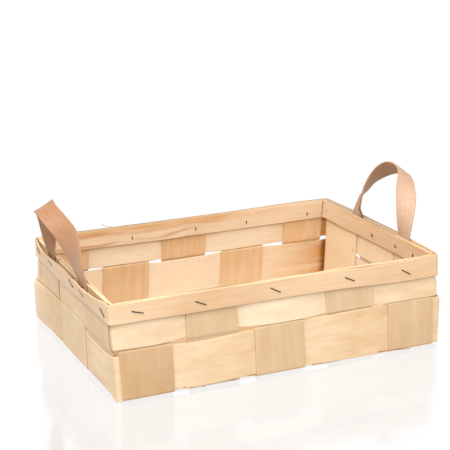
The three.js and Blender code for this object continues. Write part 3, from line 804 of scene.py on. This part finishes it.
def strip_weave(half_span, floor_ranges, outside_low, walls, start, end, stays_inside=False):
    """The offset of a strip from the wall's middle surface: level at each crossing, and an S-curve between.
    At its last crossing it changes sides too, unless it stays inside."""
    top = on_wall(half_span, SPLINT_TOP)
    foot = on_wall(half_span, LOWER_ROW[0])
    lows = [switch_heights(wall, start, end) for wall in walls]
    ranges = [(-top, -on_wall(half_span, lows[0][1])), (-on_wall(half_span, lows[0][0]), -foot)]
    ranges += list(floor_ranges)
    ranges += [(foot, on_wall(half_span, lows[1][0])), (on_wall(half_span, lows[1][1]), top)]
    first = -1 if outside_low else 1
    sides = [first * (-1) ** index for index in range(len(ranges))]
    if stays_inside:
        sides[-1] = -1
    places = [place for pair in ranges for place in pair]
    values = np.repeat([LAYER * side for side in sides], 2)
    between_rows = ((places[1], places[2]), (places[-3], places[-2]))
    switches = [(low - SWITCH_PAD, high + SWITCH_PAD) for low, high in between_rows]
    return (lambda s: eased(s, places, values)), switches


def strip_stations(half_span, switches):
    """Places along a strip, which are closer at its two bends and where it changes sides."""
    reach, foot = on_wall(half_span, SPLINT_TOP), half_span - BEND_RADIUS
    bends = [(-foot - PAST_BEND, -foot + BEFORE_BEND), (foot - BEFORE_BEND, foot + PAST_BEND)]
    return stations(-reach, reach, WALL_STEP, switches + bends, BEND_STEP)


def strip_tones(places, tones):
    """An S-curve from one place's tone to the next: two on the first wall, the floor's painted shade, two on
    the last.
    """
    values = tones[:2] + (FLOOR_TONE, FLOOR_TONE) + tones[2:]
    return lambda s: eased(s, places, values)


def painted_back_bounce(s):
    """Painted bounce light on a cross strip, which grows over the back half of the floor and the foot of the
    back wall.
    """
    return BACK_BOUNCE_LIGHT * between(s / HALF_WIDTH, 0.5, 1.5)


def add_cross_strip(index):
    """A strip up the front wall, across the floor and up the back wall, between its left and right edge."""
    (left_front, left_back), (right_front, right_back) = CROSS_STRIPS[index]
    middles = strip_middle(CROSS_STRIPS[index])
    weave, switches = strip_weave(HALF_WIDTH, LONG_STRIPS, index % 2 == 0, ("front", "back"), *middles)

    def place(s, share, offset):
        towards_back = between(s, -HALF_WIDTH, HALF_WIDTH)
        left = left_front + (left_back - left_front) * towards_back
        right = right_front + (right_back - right_front) * towards_back
        left = left + WAVER * np.sin(s / LEFT_WAVER + index)
        right = right + WAVER * np.sin(s / RIGHT_WAVER + 2 * index)
        y, z = strip_path(HALF_WIDTH, s, weave(s) + offset)
        return settle(left + (right - left) * share, y, z)

    add_band(f"cross_splint_{index + 1}", f"cross_strip_{index + 1}", "strip_splint", strip_wood,
             strip_stations(HALF_WIDTH, switches), right_front - left_front, SPLINT, place,
             strip_tones(STRIP_TONE_PLACES, STRIP_TONES[index]), sheet=SHEET_SPACING * (index + 1),
             stain=painted_back_bounce)


def add_long_strip(index, node):
    """A strip up the left wall, along the floor and up the right wall, between its near and far edge."""
    near, far = LONG_STRIPS[index]
    floor_ranges = [strip_middle(edges) for edges in CROSS_STRIPS]
    weave, switches = strip_weave(HALF_LENGTH, floor_ranges, index % 2 == 1, ("left", "right"), near, far,
                                  stays_inside=index == INSIDE_RIGHT)

    def place(s, share, offset):
        x, z = strip_path(HALF_LENGTH, s, weave(s) + offset)
        return settle(x, far + (near - far) * share + WAVER * np.sin(s / LONG_WAVER + index), z)

    add_band(f"long_splint_{node}", f"long_strip_{node}", "strip_splint", strip_wood,
             strip_stations(HALF_LENGTH, switches), far - near, SPLINT, place,
             strip_tones(LONG_TONE_PLACES, LONG_TONES[index]),
             sheet=SHEET_SPACING * (index + FIRST_LONG_SHEET))


for index in range(len(CROSS_STRIPS)):
    add_cross_strip(index)
for index, node in enumerate(("front", "middle", "back")):
    add_long_strip(index, node)


# Weavers

WEAVER_BEND = 2.2  # of the middle line at a corner
WEAVER_STEP = 2.8
CORNER_STEP = 0.6  # closer points, from a little before a corner to a little after it
CORNER_ROOM = 3.0
CORNERS = [RIGHT_START - ARC, BACK_START - ARC, LEFT_START - ARC, RING - SIDE_REACH - ARC]
TOP_WAVER = 0.3  # of the upper weaver's top edge, behind the rim
TOP_WAVER_LENGTH = 41.0  # for each radian
LOWER_JOINT = -6.0  # where on the front wall the lower weaver's ends meet
UPPER_JOINT = 84.0
LOWER_SHEET, UPPER_SHEET = 900, 1300  # where on the grain map the weavers are cut from


def corner_zones():
    """Where the points of a band round the basket are closer: at each corner, over two laps."""
    starts = [corner + lap * RING for lap in (0, 1) for corner in CORNERS]
    return [(start - CORNER_ROOM, start + ARC + CORNER_ROOM) for start in starts]


def weaver_weave(outside_first):
    """Offset of a weaver from the wall's middle surface: outside of every other strip and inside the rest,
    with an S-curve between."""
    first = 1 if outside_first else -1
    crossings = []
    for index, ((left_front, left_back), (right_front, right_back)) in enumerate(CROSS_STRIPS):
        side = first * (-1) ** index
        crossings.append((WALLS["front"](left_front), WALLS["front"](right_front), side))
        crossings.append((WALLS["back"](right_back), WALLS["back"](left_back), side))
    for index, (near, far) in enumerate(LONG_STRIPS):
        side = -first * (-1) ** index
        crossings.append((WALLS["right"](near), WALLS["right"](far), 1 if index == INSIDE_RIGHT else side))
        crossings.append((WALLS["left"](far), WALLS["left"](near), side))
    crossings.sort()
    places = [place + lap * RING for lap in LAPS for crossing in crossings for place in crossing[:2]]
    values = np.repeat([LAYER * side for _, _, side in crossings] * len(LAPS), 2)
    return lambda s: eased(s, places, values)


def add_weaver(name, node, outside_first, bottom, top, joint, **looks):
    """A splint woven round the four walls between its bottom and top lines, from its joint round to
    its joint again."""
    weave = weaver_weave(outside_first)
    s = stations(joint, joint + RING - JOINT_GAP, WEAVER_STEP, corner_zones(), CORNER_STEP)
    width = float(np.mean(top(s) - bottom(s)))

    def place(s, share, offset):
        x, y = ring_xy(s, weave, WEAVER_BEND, offset)
        return settle(x, y, bottom(s) + (top(s) - bottom(s)) * share)

    add_band(name, node, "weaver_splint", weaver_wood, s, width, SPLINT, place, **looks)


def upper_top(s):
    """Height of the upper weaver's top edge, which wavers as a sine."""
    return UPPER_ROW[1] + TOP_WAVER * np.sin(s / TOP_WAVER_LENGTH)


# Tones, from 0 for dark to 1 for pale, partly the wood's own and partly painted light: paler on the right and
# back walls, whose inner faces are seen, for the light inside. Then painted bounce light on the inner faces
# at the back and right, with dark painted shade in the back right corner, and painted shade on the cut edges
lower_tones = around(
    front=[(-197, 0.42), (-110, 0.42), (-60, 0.3), (40, 0.38), (110, 0.26), (170, 0.22)],
    right=[(-60, 0.7), (60, 0.8)],
    back=[(180, 0.9), (120, 1.0), (40, 1.0), (-60, 1.15), (-160, 1.0)],
    left=[(100, 0.45), (-100, 0.45)],
)
upper_tones = around(
    front=[(-170, 0.44), (-130, 0.42), (-40, 0.58), (0, 0.64), (30, 0.58), (130, 0.4), (180, 0.34)],
    right=[(-60, 0.75), (60, 0.75)],
    back=[(180, 0.9), (100, 1.0), (20, 1.05), (-90, 0.95), (-160, 0.9)],
    left=[(100, 0.5), (-100, 0.5)],
)
lower_stain = around(
    front=[(0, 0.0)],
    right=[(-60, 0.0), (80, 0.1), (112, 0.4), (119, 0.6), (123.5, 1.9)],
    back=[(194.5, 1.75), (192, 1.2), (186, 0.9), (165, 0.6), (120, 0.25), (60, 0.0), (-150, 0.1)],
    left=[(0, 0.0)],
)
upper_stain = around(
    front=[(0, 0.0)],
    right=[(-60, 0.3), (100, 0.3), (114, 0.5), (120, 1.1)],
    back=[(194.5, 1.35), (189, 1.0), (175, 0.7), (150, 0.35), (110, 0.0), (-150, 0.1)],
    left=[(0, 0.0)],
)
weaver_dull = around(
    front=[(-180, 0.0), (180, 0.0)],
    right=[(-100, 0.6), (100, 0.6)],
    back=[(180, 0.3), (-180, 0.2)],
    left=[(100, 0.0), (-100, 0.0)],
)
add_weaver("lower_weaver_band", "lower_weaver", False, lower_bottom, lower_top, WALLS["front"](LOWER_JOINT),
           tone=lower_tones, stain=lower_stain, dull=weaver_dull, sheet=LOWER_SHEET)
add_weaver("upper_weaver_band", "upper_weaver", True, upper_bottom, upper_top, WALLS["front"](UPPER_JOINT),
           tone=upper_tones, stain=upper_stain, dull=weaver_dull, sheet=UPPER_SHEET)


# Rims

RIM_MIDDLE = RIM_INSET + RIM / 2  # from the wall's middle surface
OUTER_BEND = 4.0  # of a rim's middle line at a corner
INNER_BEND = 1.5
RIM_STEP = 2.4
RIM_FACE_STEP = 2.6
RIM_EASE = 0.35
BOUNCE_FADE = (0.45, 0.85)  # shares of the inner rim's width between which its painted bounce light grows
OUTER_JOINT = -85.0  # where on the back wall the outer rim's ends meet
INNER_JOINT = SIDE_REACH
OUTER_SHEET, INNER_SHEET = 1700, 2100  # where on the grain map the rims are cut from
HAIR = 0.01  # for rounding, at the ends of a wall


def straight_line(s):
    """The inner rim's middle line, which stays flat against the walls."""
    return -RIM_MIDDLE + 0.0 * s


def sprung_line(s, part=1.0):
    """The outer rim's middle line: flat on the long walls, and sprung off the end walls by a part of the
    distances at its top."""
    place = np.mod(s, RING)
    right_y, left_y = place - RIGHT_START - END_REACH, LEFT_START + END_REACH - place
    spring = 0
    for y, distances in ((right_y, RIGHT_SPRING), (left_y, LEFT_SPRING)):
        spring = spring + np.where(np.abs(y) <= END_REACH + HAIR, flowing(y, distances), 0)
    return RIM_MIDDLE + part * spring


def foot_line(s):
    """The outer rim's middle line along its bottom edge, which springs off less."""
    return sprung_line(s, FOOT_SPRING)


def towards_top(share):
    """For painted bounce light that is on the upper part of a band only."""
    return between(share, *BOUNCE_FADE)


def add_rim(name, node, lines, radius, bottom, top, joint, **looks):
    """A rim band between the plan lines of its bottom and of its top edge."""
    s = stations(joint, joint + RING - JOINT_GAP, RIM_STEP, corner_zones(), CORNER_STEP)
    width = float(np.mean(top(s) - bottom(s)))

    def place(s, share, offset):
        low_x, low_y = ring_xy(s, lines[0], radius, offset)
        high_x, high_y = ring_xy(s, lines[1], radius, offset)
        z = bottom(s) + (top(s) - bottom(s)) * share
        return settle(low_x + (high_x - low_x) * share, low_y + (high_y - low_y) * share, z)

    add_band(name, node, "rim_wood", rim_wood, s, width, RIM, place, step=RIM_FACE_STEP, ease=RIM_EASE,
             **looks)


# Tones, from 0 for dark to 1 for pale, partly the wood's own and partly painted light: the inner rim is paler
# on the back wall, whose inner face is seen, for the light inside. Then the strength of the growth lines
outer_tones = around(
    front=[(-190, 0.58), (-100, 0.35), (0, 0.42), (60, 0.5), (130, 0.4), (190, 0.4)],
    right=[(0, 0.6)],
    back=[(0, 0.6)],
    left=[(90, 0.62), (-90, 0.6)],
)
inner_tones = around(
    front=[(-100, 0.6), (100, 0.6)],
    right=[(-60, 0.55), (60, 0.6)],
    back=[(150, 1.0), (40, 0.95), (-90, 0.95), (-170, 0.95)],
    left=[(0, 0.6)],
)
outer_figure = around(
    front=[(0, 0.12)],
    right=[(0, 0.2)],
    back=[(0, 0.3)],
    left=[(0, 0.15)],
)
inner_figure = around(
    front=[(0, 0.2)],
    right=[(0, 0.25)],
    back=[(150, 0.15), (60, 0.3), (-20, 0.75), (-180, 1.0)],
    left=[(0, 0.3)],
)
# Painted bounce light that warms and darkens the inner rim's inner face inside the basket, and painted shade
# that darkens both rims' top edges
inner_stain = around(
    front=[(0, 0.0)],
    right=[(40, 0.0), (-90, 0.35)],
    back=[(150, 0.0), (120, 0.3), (60, 0.4), (33, 1.0), (8, 1.0), (-20, 0.7), (-60, 1.0), (-120, 0.8),
          (-180, 0.9)],
    left=[(0, 0.3)],
)
outer_dull = around(
    front=[(-150, 0.0), (150, 0.0)],
    right=[(-110, 0.2), (-60, 0.4), (-35, 1.0), (100, 1.0)],
    back=[(180, 0.8), (0, 0.85), (-180, 0.85)],
    left=[(115, 0.3), (60, 0.1), (-100, 0.0)],
)
inner_dull = around(
    front=[(-170, 0.2), (-120, 0.6), (150, 0.6)],
    right=[(-110, 0.2), (0, 0.5), (100, 0.5)],
    back=[(180, 0.4), (0, 0.6), (-180, 0.5)],
    left=[(60, 0.1), (-100, 0.0)],
)
add_rim("outer_rim_band", "outer_rim", (foot_line, sprung_line), OUTER_BEND, outer_rim_bottom, outer_rim_top,
        WALLS["back"](OUTER_JOINT), tone=outer_tones, figure=outer_figure, dull=outer_dull,
        sheet=OUTER_SHEET)
add_rim("inner_rim_band", "inner_rim", (straight_line, straight_line), INNER_BEND, inner_rim_bottom,
        inner_rim_top, WALLS["back"](INNER_JOINT), tone=inner_tones, figure=inner_figure, stain=inner_stain,
        stain_fade=towards_top, dull=inner_dull, sheet=INNER_SHEET)


# Handles

LEG_SPACING = 109.0
HANDLE_INSET = WALL_HALF + CLEARANCE + HANDLE / 2
HANDLE_STEP = 1.8
HANDLE_EASE = 0.5
HANDLE_CUP = 0.5  # how far its edges curl at the top of the arch
FOOT_HEIGHTS = (85.5, 98.0, 106.5)  # of the points of a leg, behind the rim
# The feet give the turn of the near and of the far one, in degrees. The arch has points from near to far:
# distance outwards from the leg, place along the wall, height, and turn. The tones, partly the wood's own and
# partly painted light that makes the legs paler than the crown, and the painted shade on the cut edges, which
# is strongest on the right handle's far leg, have points at distances along the strip. The sheet is where on
# the grain map it is cut from.
HANDLES = {
    "left": {
        "side": -1, "centre": 8.0, "feet": (180, 0), "sheet": 2400,
        "arch": [(2.3, -45.2, 115.6, 177.6), (9.4, -29.3, 156.2, 134.2), (19.0, 1.3, 174.9, 109.1),
                 (15.6, 26.8, 174.2, 115.7), (9.9, 45.0, 158.5, 64.4), (1.0, 63.9, 115.6, 12.3)],
        "tones": [(0, 0.5), (40, 0.42), (75, 0.18), (150, 0.12), (225, 0.1), (255, 0.4), (285, 0.5)],
        "dull": [(0, 0.25), (300, 0.25)],
    },
    "right": {
        "side": 1, "centre": -3.5, "feet": (0, 2.2), "sheet": 2800,
        "arch": [(1.3, -56.0, 119.7, 13.6), (12.8, -38.6, 152.9, 67.3), (23.6, -12.6, 176.8, 124.8),
                 (21.8, 5.9, 177.0, 132.2), (6.2, 37.1, 148.8, 64.0), (-1.6, 41.1, 130.7, 32.4),
                 (1.1, 49.1, 118.0, 18.5)],
        "tones": [(0, 0.7), (60, 0.66), (110, 0.55), (140, 0.35), (200, 0.4), (235, 0.7), (280, 0.8)],
        "dull": [(0, 0.25), (170, 0.25), (230, 0.8), (300, 0.8)],
    },
}


def handle_points(handle):
    """The points of a handle's middle line with those of its two feet, which stand straight in the wall."""
    near, far = (handle["centre"] + side * LEG_SPACING / 2 for side in (-1, 1))
    near_foot = [(0, near, height, handle["feet"][0]) for height in FOOT_HEIGHTS]
    far_foot = [(0, far, height, handle["feet"][1]) for height in FOOT_HEIGHTS[::-1]]
    return np.array(near_foot + handle["arch"] + far_foot)


def add_handle(name):
    """A strip whose middle line flows through its points, and which turns about that line as they say."""
    handle = HANDLES[name]
    side = handle["side"]
    points = handle_points(handle)
    walked = np.concatenate(([0], np.cumsum(np.linalg.norm(np.diff(points[:, :3], axis=0), axis=1))))
    s = stations(0, walked[-1], HANDLE_STEP, [], 1)
    out, y, z, turn = (flowing(s, np.stack((walked, column), axis=-1)) for column in points.T)
    centres = np.stack((side * (HALF_LENGTH + HANDLE_INSET + out), y, z), axis=-1)
    tangents = np.gradient(centres, s, axis=0)
    tangents /= np.linalg.norm(tangents, axis=1, keepdims=True)
    outwards = np.array([side, 0, 0])
    outer = outwards - tangents * (tangents @ outwards)[:, None]
    outer /= np.linalg.norm(outer, axis=1, keepdims=True)
    aside = np.cross(outer, tangents) * side
    turn = np.radians(turn)[:, None]
    widthwise = aside * np.cos(turn) + outer * np.sin(turn)
    through = np.cross(tangents, widthwise)

    def place(along, share, offset):
        across = (share - 0.5) * HANDLE_WIDTH
        cup = HANDLE_CUP * (np.abs(across) / HANDLE_WIDTH * 2) ** 2 * hump(along, 0, walked[-1])
        spot = centres[:, None] + widthwise[:, None] * across[..., None]
        spot = spot + through[:, None] * (offset + cup)[..., None]
        return settle(spot[..., 0], spot[..., 1], spot[..., 2])

    add_band(f"{name}_handle_strip", f"handle_{name}", "handle_wood", handle_wood, s, HANDLE_WIDTH, HANDLE,
             place, lambda s: flowing(s, handle["tones"]), step=HANDLE_STEP, ease=HANDLE_EASE,
             sheet=handle["sheet"], dull=lambda s: eased(s, *zip(*handle["dull"])))


for name in HANDLES:
    add_handle(name)


# Staples

CROWN_WIDTH = 14.2
WIRE = 1.1  # diameter
PROUD = 0.35 * WIRE  # how far a crown's middle line stands off the rim
CLINCH = 0.4 * WIRE  # how far the leg that is bent over inside stands off the wood
TIP = 3.8  # length of wire that is bent over
TIP_LIFT = 0.2  # how far its end stands off further
BURIED = 1.9  # how far short of the inside the other leg ends
WIRE_BEND = 0.9
WIRE_SIDES = 10
TIP_LENGTH, TIP_RADIUS = 0.5, 0.35  # of the wire's radius, for the blunt cone at its ends
UNLIKE_WIRES = np.array([0.58, 0.57, 0.59])  # a direction that no wire runs in
FEEL = 4.0  # distance to each side over which the rim's direction is felt
RIM_CENTRE = RIM_TOP - 11.5  # height of the outer rim's middle line
SHORT_STAPLES = [("right", 3)]  # wall and number, from 0, of one that doesn't come through
SHORT_LEGS = 3.4  # by how much its legs are shorter
# Which way is outwards, and which way goes to the right as seen from outside
WALL_SIGNS = {"front": (-1, 1), "right": (1, 1), "back": (1, -1), "left": (-1, -1)}
SPRINGS = {"front": FLAT_SPRING, "right": RIGHT_SPRING, "back": FLAT_SPRING, "left": LEFT_SPRING}
right_near, right_far = (HANDLES["right"]["centre"] + side * LEG_SPACING / 2 for side in (-1, 1))
# Place along the wall, distance below the rim's middle and slant in degrees
STAPLES = {
    "front": [(-170.4, 1, -15), (-98.8, 2, -23), (-9.6, 1, -28), (83.3, 2, -25), (156.9, 4, -30)],
    "right": [(-93.4, 2, -24), (right_near + 1.5, 1, -28), (-3.9, 3, -20), (right_far + 0.5, 1, -27),
              (110.9, 1, -22)],
    "back": [(-157.9, 2, -26), (-71.8, 3, -22), (13.9, 2, -27), (85.8, 3, -18), (174.4, 2, -25)],
    "left": [(-113.2, 2.1, -37), (-54.5, -1.1, -28), (-22.8, -1.7, -29), (54.4, -1.6, -22),
             (105.3, -1.3, -23)],
}


def wall_point(wall, along, offset, height):
    """A point on a wall, at an offset outwards from its middle surface."""
    outwards = WALL_SIGNS[wall][0]
    if wall in ("front", "back"):
        return np.array(settle(along, outwards * (HALF_WIDTH + offset), height))
    return np.array(settle(outwards * (HALF_LENGTH + offset), along, height))


def rim_point(wall, along, height):
    """A point on the outer rim's face, as far off the wall as the rim springs there."""
    share = (height - RIM_BOTTOM) / (RIM_TOP - RIM_BOTTOM)
    stand = flowing(along, SPRINGS[wall]) * (FOOT_SPRING + (1 - FOOT_SPRING) * share)
    return wall_point(wall, along, RIM_INSET + RIM + stand, height)


def rounded(corners, radius, steps=5):
    """A path through corner points, with each corner cut by a smooth curve of about this radius."""
    path = [corners[0]]
    for before, corner, after in zip(corners[:-2], corners[1:-1], corners[2:]):
        start = corner + (before - corner) / np.linalg.norm(before - corner) * radius
        end = corner + (after - corner) / np.linalg.norm(after - corner) * radius
        t = np.linspace(0, 1, steps)[:, None]
        path.extend((1 - t) ** 2 * start + 2 * t * (1 - t) * corner + t**2 * end)
    path.append(corners[-1])
    return np.array(path)


def add_wire(name, node, material, corners, bend, diameter, stain=None):
    """A round wire carried along a path through corners, with a blunt cone at each end: circles in the two
    directions square to the path."""
    path, radius = rounded(corners, bend), diameter / 2
    tangents = np.gradient(path, axis=0)
    tangents /= np.linalg.norm(tangents, axis=1, keepdims=True)
    first = UNLIKE_WIRES - tangents * (tangents @ UNLIKE_WIRES)[:, None]
    first /= np.linalg.norm(first, axis=1, keepdims=True)
    second = np.cross(tangents, first)
    start = path[0] - tangents[0] * radius * TIP_LENGTH
    end = path[-1] + tangents[-1] * radius * TIP_LENGTH
    centres = np.concatenate(([start], path, [end]))
    sizes = np.concatenate(([radius * TIP_RADIUS], np.full(len(path), radius), [radius * TIP_RADIUS]))
    first = np.concatenate(([first[0]], first, [first[-1]]))
    second = np.concatenate(([second[0]], second, [second[-1]]))
    angle = np.linspace(0, math.tau, WIRE_SIDES, endpoint=False)[None, :, None]
    circles = first[:, None] * np.cos(angle) + second[:, None] * np.sin(angle)
    points = (centres[:, None] + circles * sizes[:, None, None]).reshape(-1, 3)
    grid = np.arange(len(points)).reshape(-1, WIRE_SIDES)
    turned = np.roll(grid, -1, axis=1)
    quads = np.stack((grid[:-1], turned[:-1], turned[1:], grid[1:]), axis=-1).reshape(-1, 4)
    mesh = new_mesh(name, points, quads.tolist() + [grid[0][::-1].tolist(), grid[-1].tolist()])
    # a splinter or fibre gets one painted shade value for all its points, and flat shading
    if stain is None:
        shade_smooth(mesh, SHARP_WIRE)
    else:
        give(mesh, "stain", np.full(len(points), stain))
    add_piece(name, node, mesh, material)


def add_staple(wall, index, along, below, slant):
    """A crown on the outer rim, turned by its slant, with one leg that ends in the wood and one that comes
    through both rims and is bent up."""
    height = RIM_CENTRE - below
    rightwards = FEEL * WALL_SIGNS[wall][1]
    centre = rim_point(wall, along, height)
    across = rim_point(wall, along + rightwards, height) - rim_point(wall, along - rightwards, height)
    upwards = rim_point(wall, along, height + FEEL) - rim_point(wall, along, height - FEEL)
    across /= np.linalg.norm(across)
    outwards = np.cross(across, upwards)
    outwards /= np.linalg.norm(outwards)
    upwards = np.cross(outwards, across)
    tilt = math.radians(slant)
    half = (across * math.cos(tilt) + upwards * math.sin(tilt)) * (CROWN_WIDTH - WIRE) / 2
    upper, lower = centre - half, centre + half
    depth = 2 * (RIM_INSET + RIM) + float(flowing(along, SPRINGS[wall]))
    if (wall, index) in SHORT_STAPLES:
        depth -= SHORT_LEGS
    bent = lower - outwards * (depth + CLINCH)
    corners = [
        upper - outwards * (depth - BURIED), upper + outwards * PROUD, lower + outwards * PROUD, bent,
        bent + upwards * TIP - outwards * TIP_LIFT,
    ]
    add_wire(f"{wall}_staple_{index + 1}", f"staple_{wall}_{index + 1}", wire_steel, corners,
             WIRE_BEND, WIRE)


for wall, places in STAPLES.items():
    for index, (along, below, slant) in enumerate(places):
        add_staple(wall, index, along, below, slant)


# Splinters, torn from the lower weaver and from the inner rim

# Points of each splinter's path: x and z on the front wall's foot, and one fibre above the back rim
SPLINTERS = [
    [(-123, 5.0), (-121, 4.2), (-119, 4.8)],
    [(-115, 3.9), (-112.5, 2.9), (-109, 3.6)],
    [(-102, 2.6), (-99.5, 1.3), (-97.5, 2.9)],
    [(-68, 3.6), (-65, 2.5), (-60, 3.4)],
    [(32, 3.6), (42, 3.0), (56, 2.6), (68, 2.7)],
    [(118, 4.2), (127, 3.6), (145, 2.2), (161, 0.8)],
]
FIBRE = [(-116.2, 130, 112.7), (-113, 130, 110.4), (-109.8, 130, 108.7), (-102, 130, 107.1)]
SPLINTER_SIZE = 0.75  # diameter
FIBRE_SIZE = 0.5
SPLINTER_BEND = 1.0
SPLINTER_SHADE = 1.7  # painted shade: dark, as they look in shadow against the light floor
SPLINTER_Y = -FLOOR_WIDTH / 2 + 0.5


def add_splinter(name, path, size):
    """A thin round sliver of the weavers' wood, darkened with painted shade."""
    corners = [np.array(point) for point in path]
    add_wire(name, None, weaver_wood, corners, SPLINTER_BEND, size, SPLINTER_SHADE)


for index, path in enumerate(SPLINTERS):
    add_splinter(f"weaver_splinter_{index + 1}", [(x, SPLINTER_Y, z) for x, z in path], SPLINTER_SIZE)
add_splinter("rim_fibre", FIBRE, FIBRE_SIZE)


# Floor and light, in metres

WHITE = "FFFFFF"
FLOOR_REACH = 4.0
FLOOR_DROP = 0.0004  # below the basket, so that no faces coincide
FLOOR_GLOSS = 0.2  # share of its look that is a reflection
FLOOR_ROUGHNESS = 0.12
BACKDROP_REACH = 6.0
BACKDROP_Y = 4.0
BACKDROP_FOOT, BACKDROP_TOP = -0.1, 4.0
BACKDROP_GLOW = 1.02
ROOM_GLOW = 0.6
LIGHT_TARGET = Vector((0, 0, 0.05))
# Soft lights: place, width, height and power in watts
SOFTBOXES = {"key": ((0.6, -2.1, 1.9), 1.6, 1.2, 34), "top": ((-0.8, -0.5, 1.9), 1.4, 1.4, 56)}


def add_sheet(name, corners, material):
    """A flat sheet of the studio through four corners."""
    mesh = bpy.data.meshes.new(name)
    mesh.from_pydata(corners, [], [(0, 1, 2, 3)])
    mesh.materials.append(material)
    sheet = bpy.data.objects.new(name, mesh)
    bpy.context.scene.collection.objects.link(sheet)


def add_floor():
    """A pale, slightly glossy sheet that the light leaves almost white."""
    material, tree = new_material("white_studio_sheet")
    glow = add(tree, "ShaderNodeEmission", {"Color": srgb(WHITE), "Strength": 1.0})["Emission"]
    gloss = add(tree, "ShaderNodeBsdfGlossy", {"Color": srgb(WHITE), "Roughness": FLOOR_ROUGHNESS})["BSDF"]
    surface = add(tree, "ShaderNodeMixShader", {0: FLOOR_GLOSS, 1: glow, 2: gloss})["Shader"]
    add(tree, "ShaderNodeOutputMaterial", {"Surface": surface})
    near, far = -FLOOR_REACH, FLOOR_REACH
    places = [(near, near), (far, near), (far, far), (near, far)]
    add_sheet("studio_floor", [(x, y, -FLOOR_DROP) for x, y in places], material)


def add_backdrop():
    """A glowing white wall behind, which the floor mirrors."""
    material, tree = new_material("white_studio_wall")
    glow = add(tree, "ShaderNodeEmission", {"Color": srgb(WHITE), "Strength": BACKDROP_GLOW})["Emission"]
    add(tree, "ShaderNodeOutputMaterial", {"Surface": glow})
    left, right = -BACKDROP_REACH, BACKDROP_REACH
    places = [(left, BACKDROP_FOOT), (right, BACKDROP_FOOT), (right, BACKDROP_TOP), (left, BACKDROP_TOP)]
    add_sheet("studio_backdrop", [(x, BACKDROP_Y, z) for x, z in places], material)


def add_softbox(name, place, width, height, power):
    """A white rectangle of light that faces the basket."""
    data = bpy.data.lights.new(name, "AREA")
    data.shape = "RECTANGLE"
    data.size = width
    data.size_y = height
    data.energy = power
    light = bpy.data.objects.new(name, data)
    light.location = place
    light.rotation_euler = (LIGHT_TARGET - Vector(place)).to_track_quat("-Z", "Y").to_euler()
    bpy.context.scene.collection.objects.link(light)


def add_room():
    """White surroundings."""
    world = bpy.data.worlds.new("studio")
    world.use_nodes = True
    background = world.node_tree.nodes["Background"]
    background.inputs["Color"].default_value = srgb(WHITE)
    background.inputs["Strength"].default_value = ROOM_GLOW
    bpy.context.scene.world = world


add_floor()
add_backdrop()
add_room()
# A large soft light in front and above, and one above the left end
for name, softbox in SOFTBOXES.items():
    add_softbox(name, *softbox)
bpy.context.scene.view_settings.view_transform = "Standard"
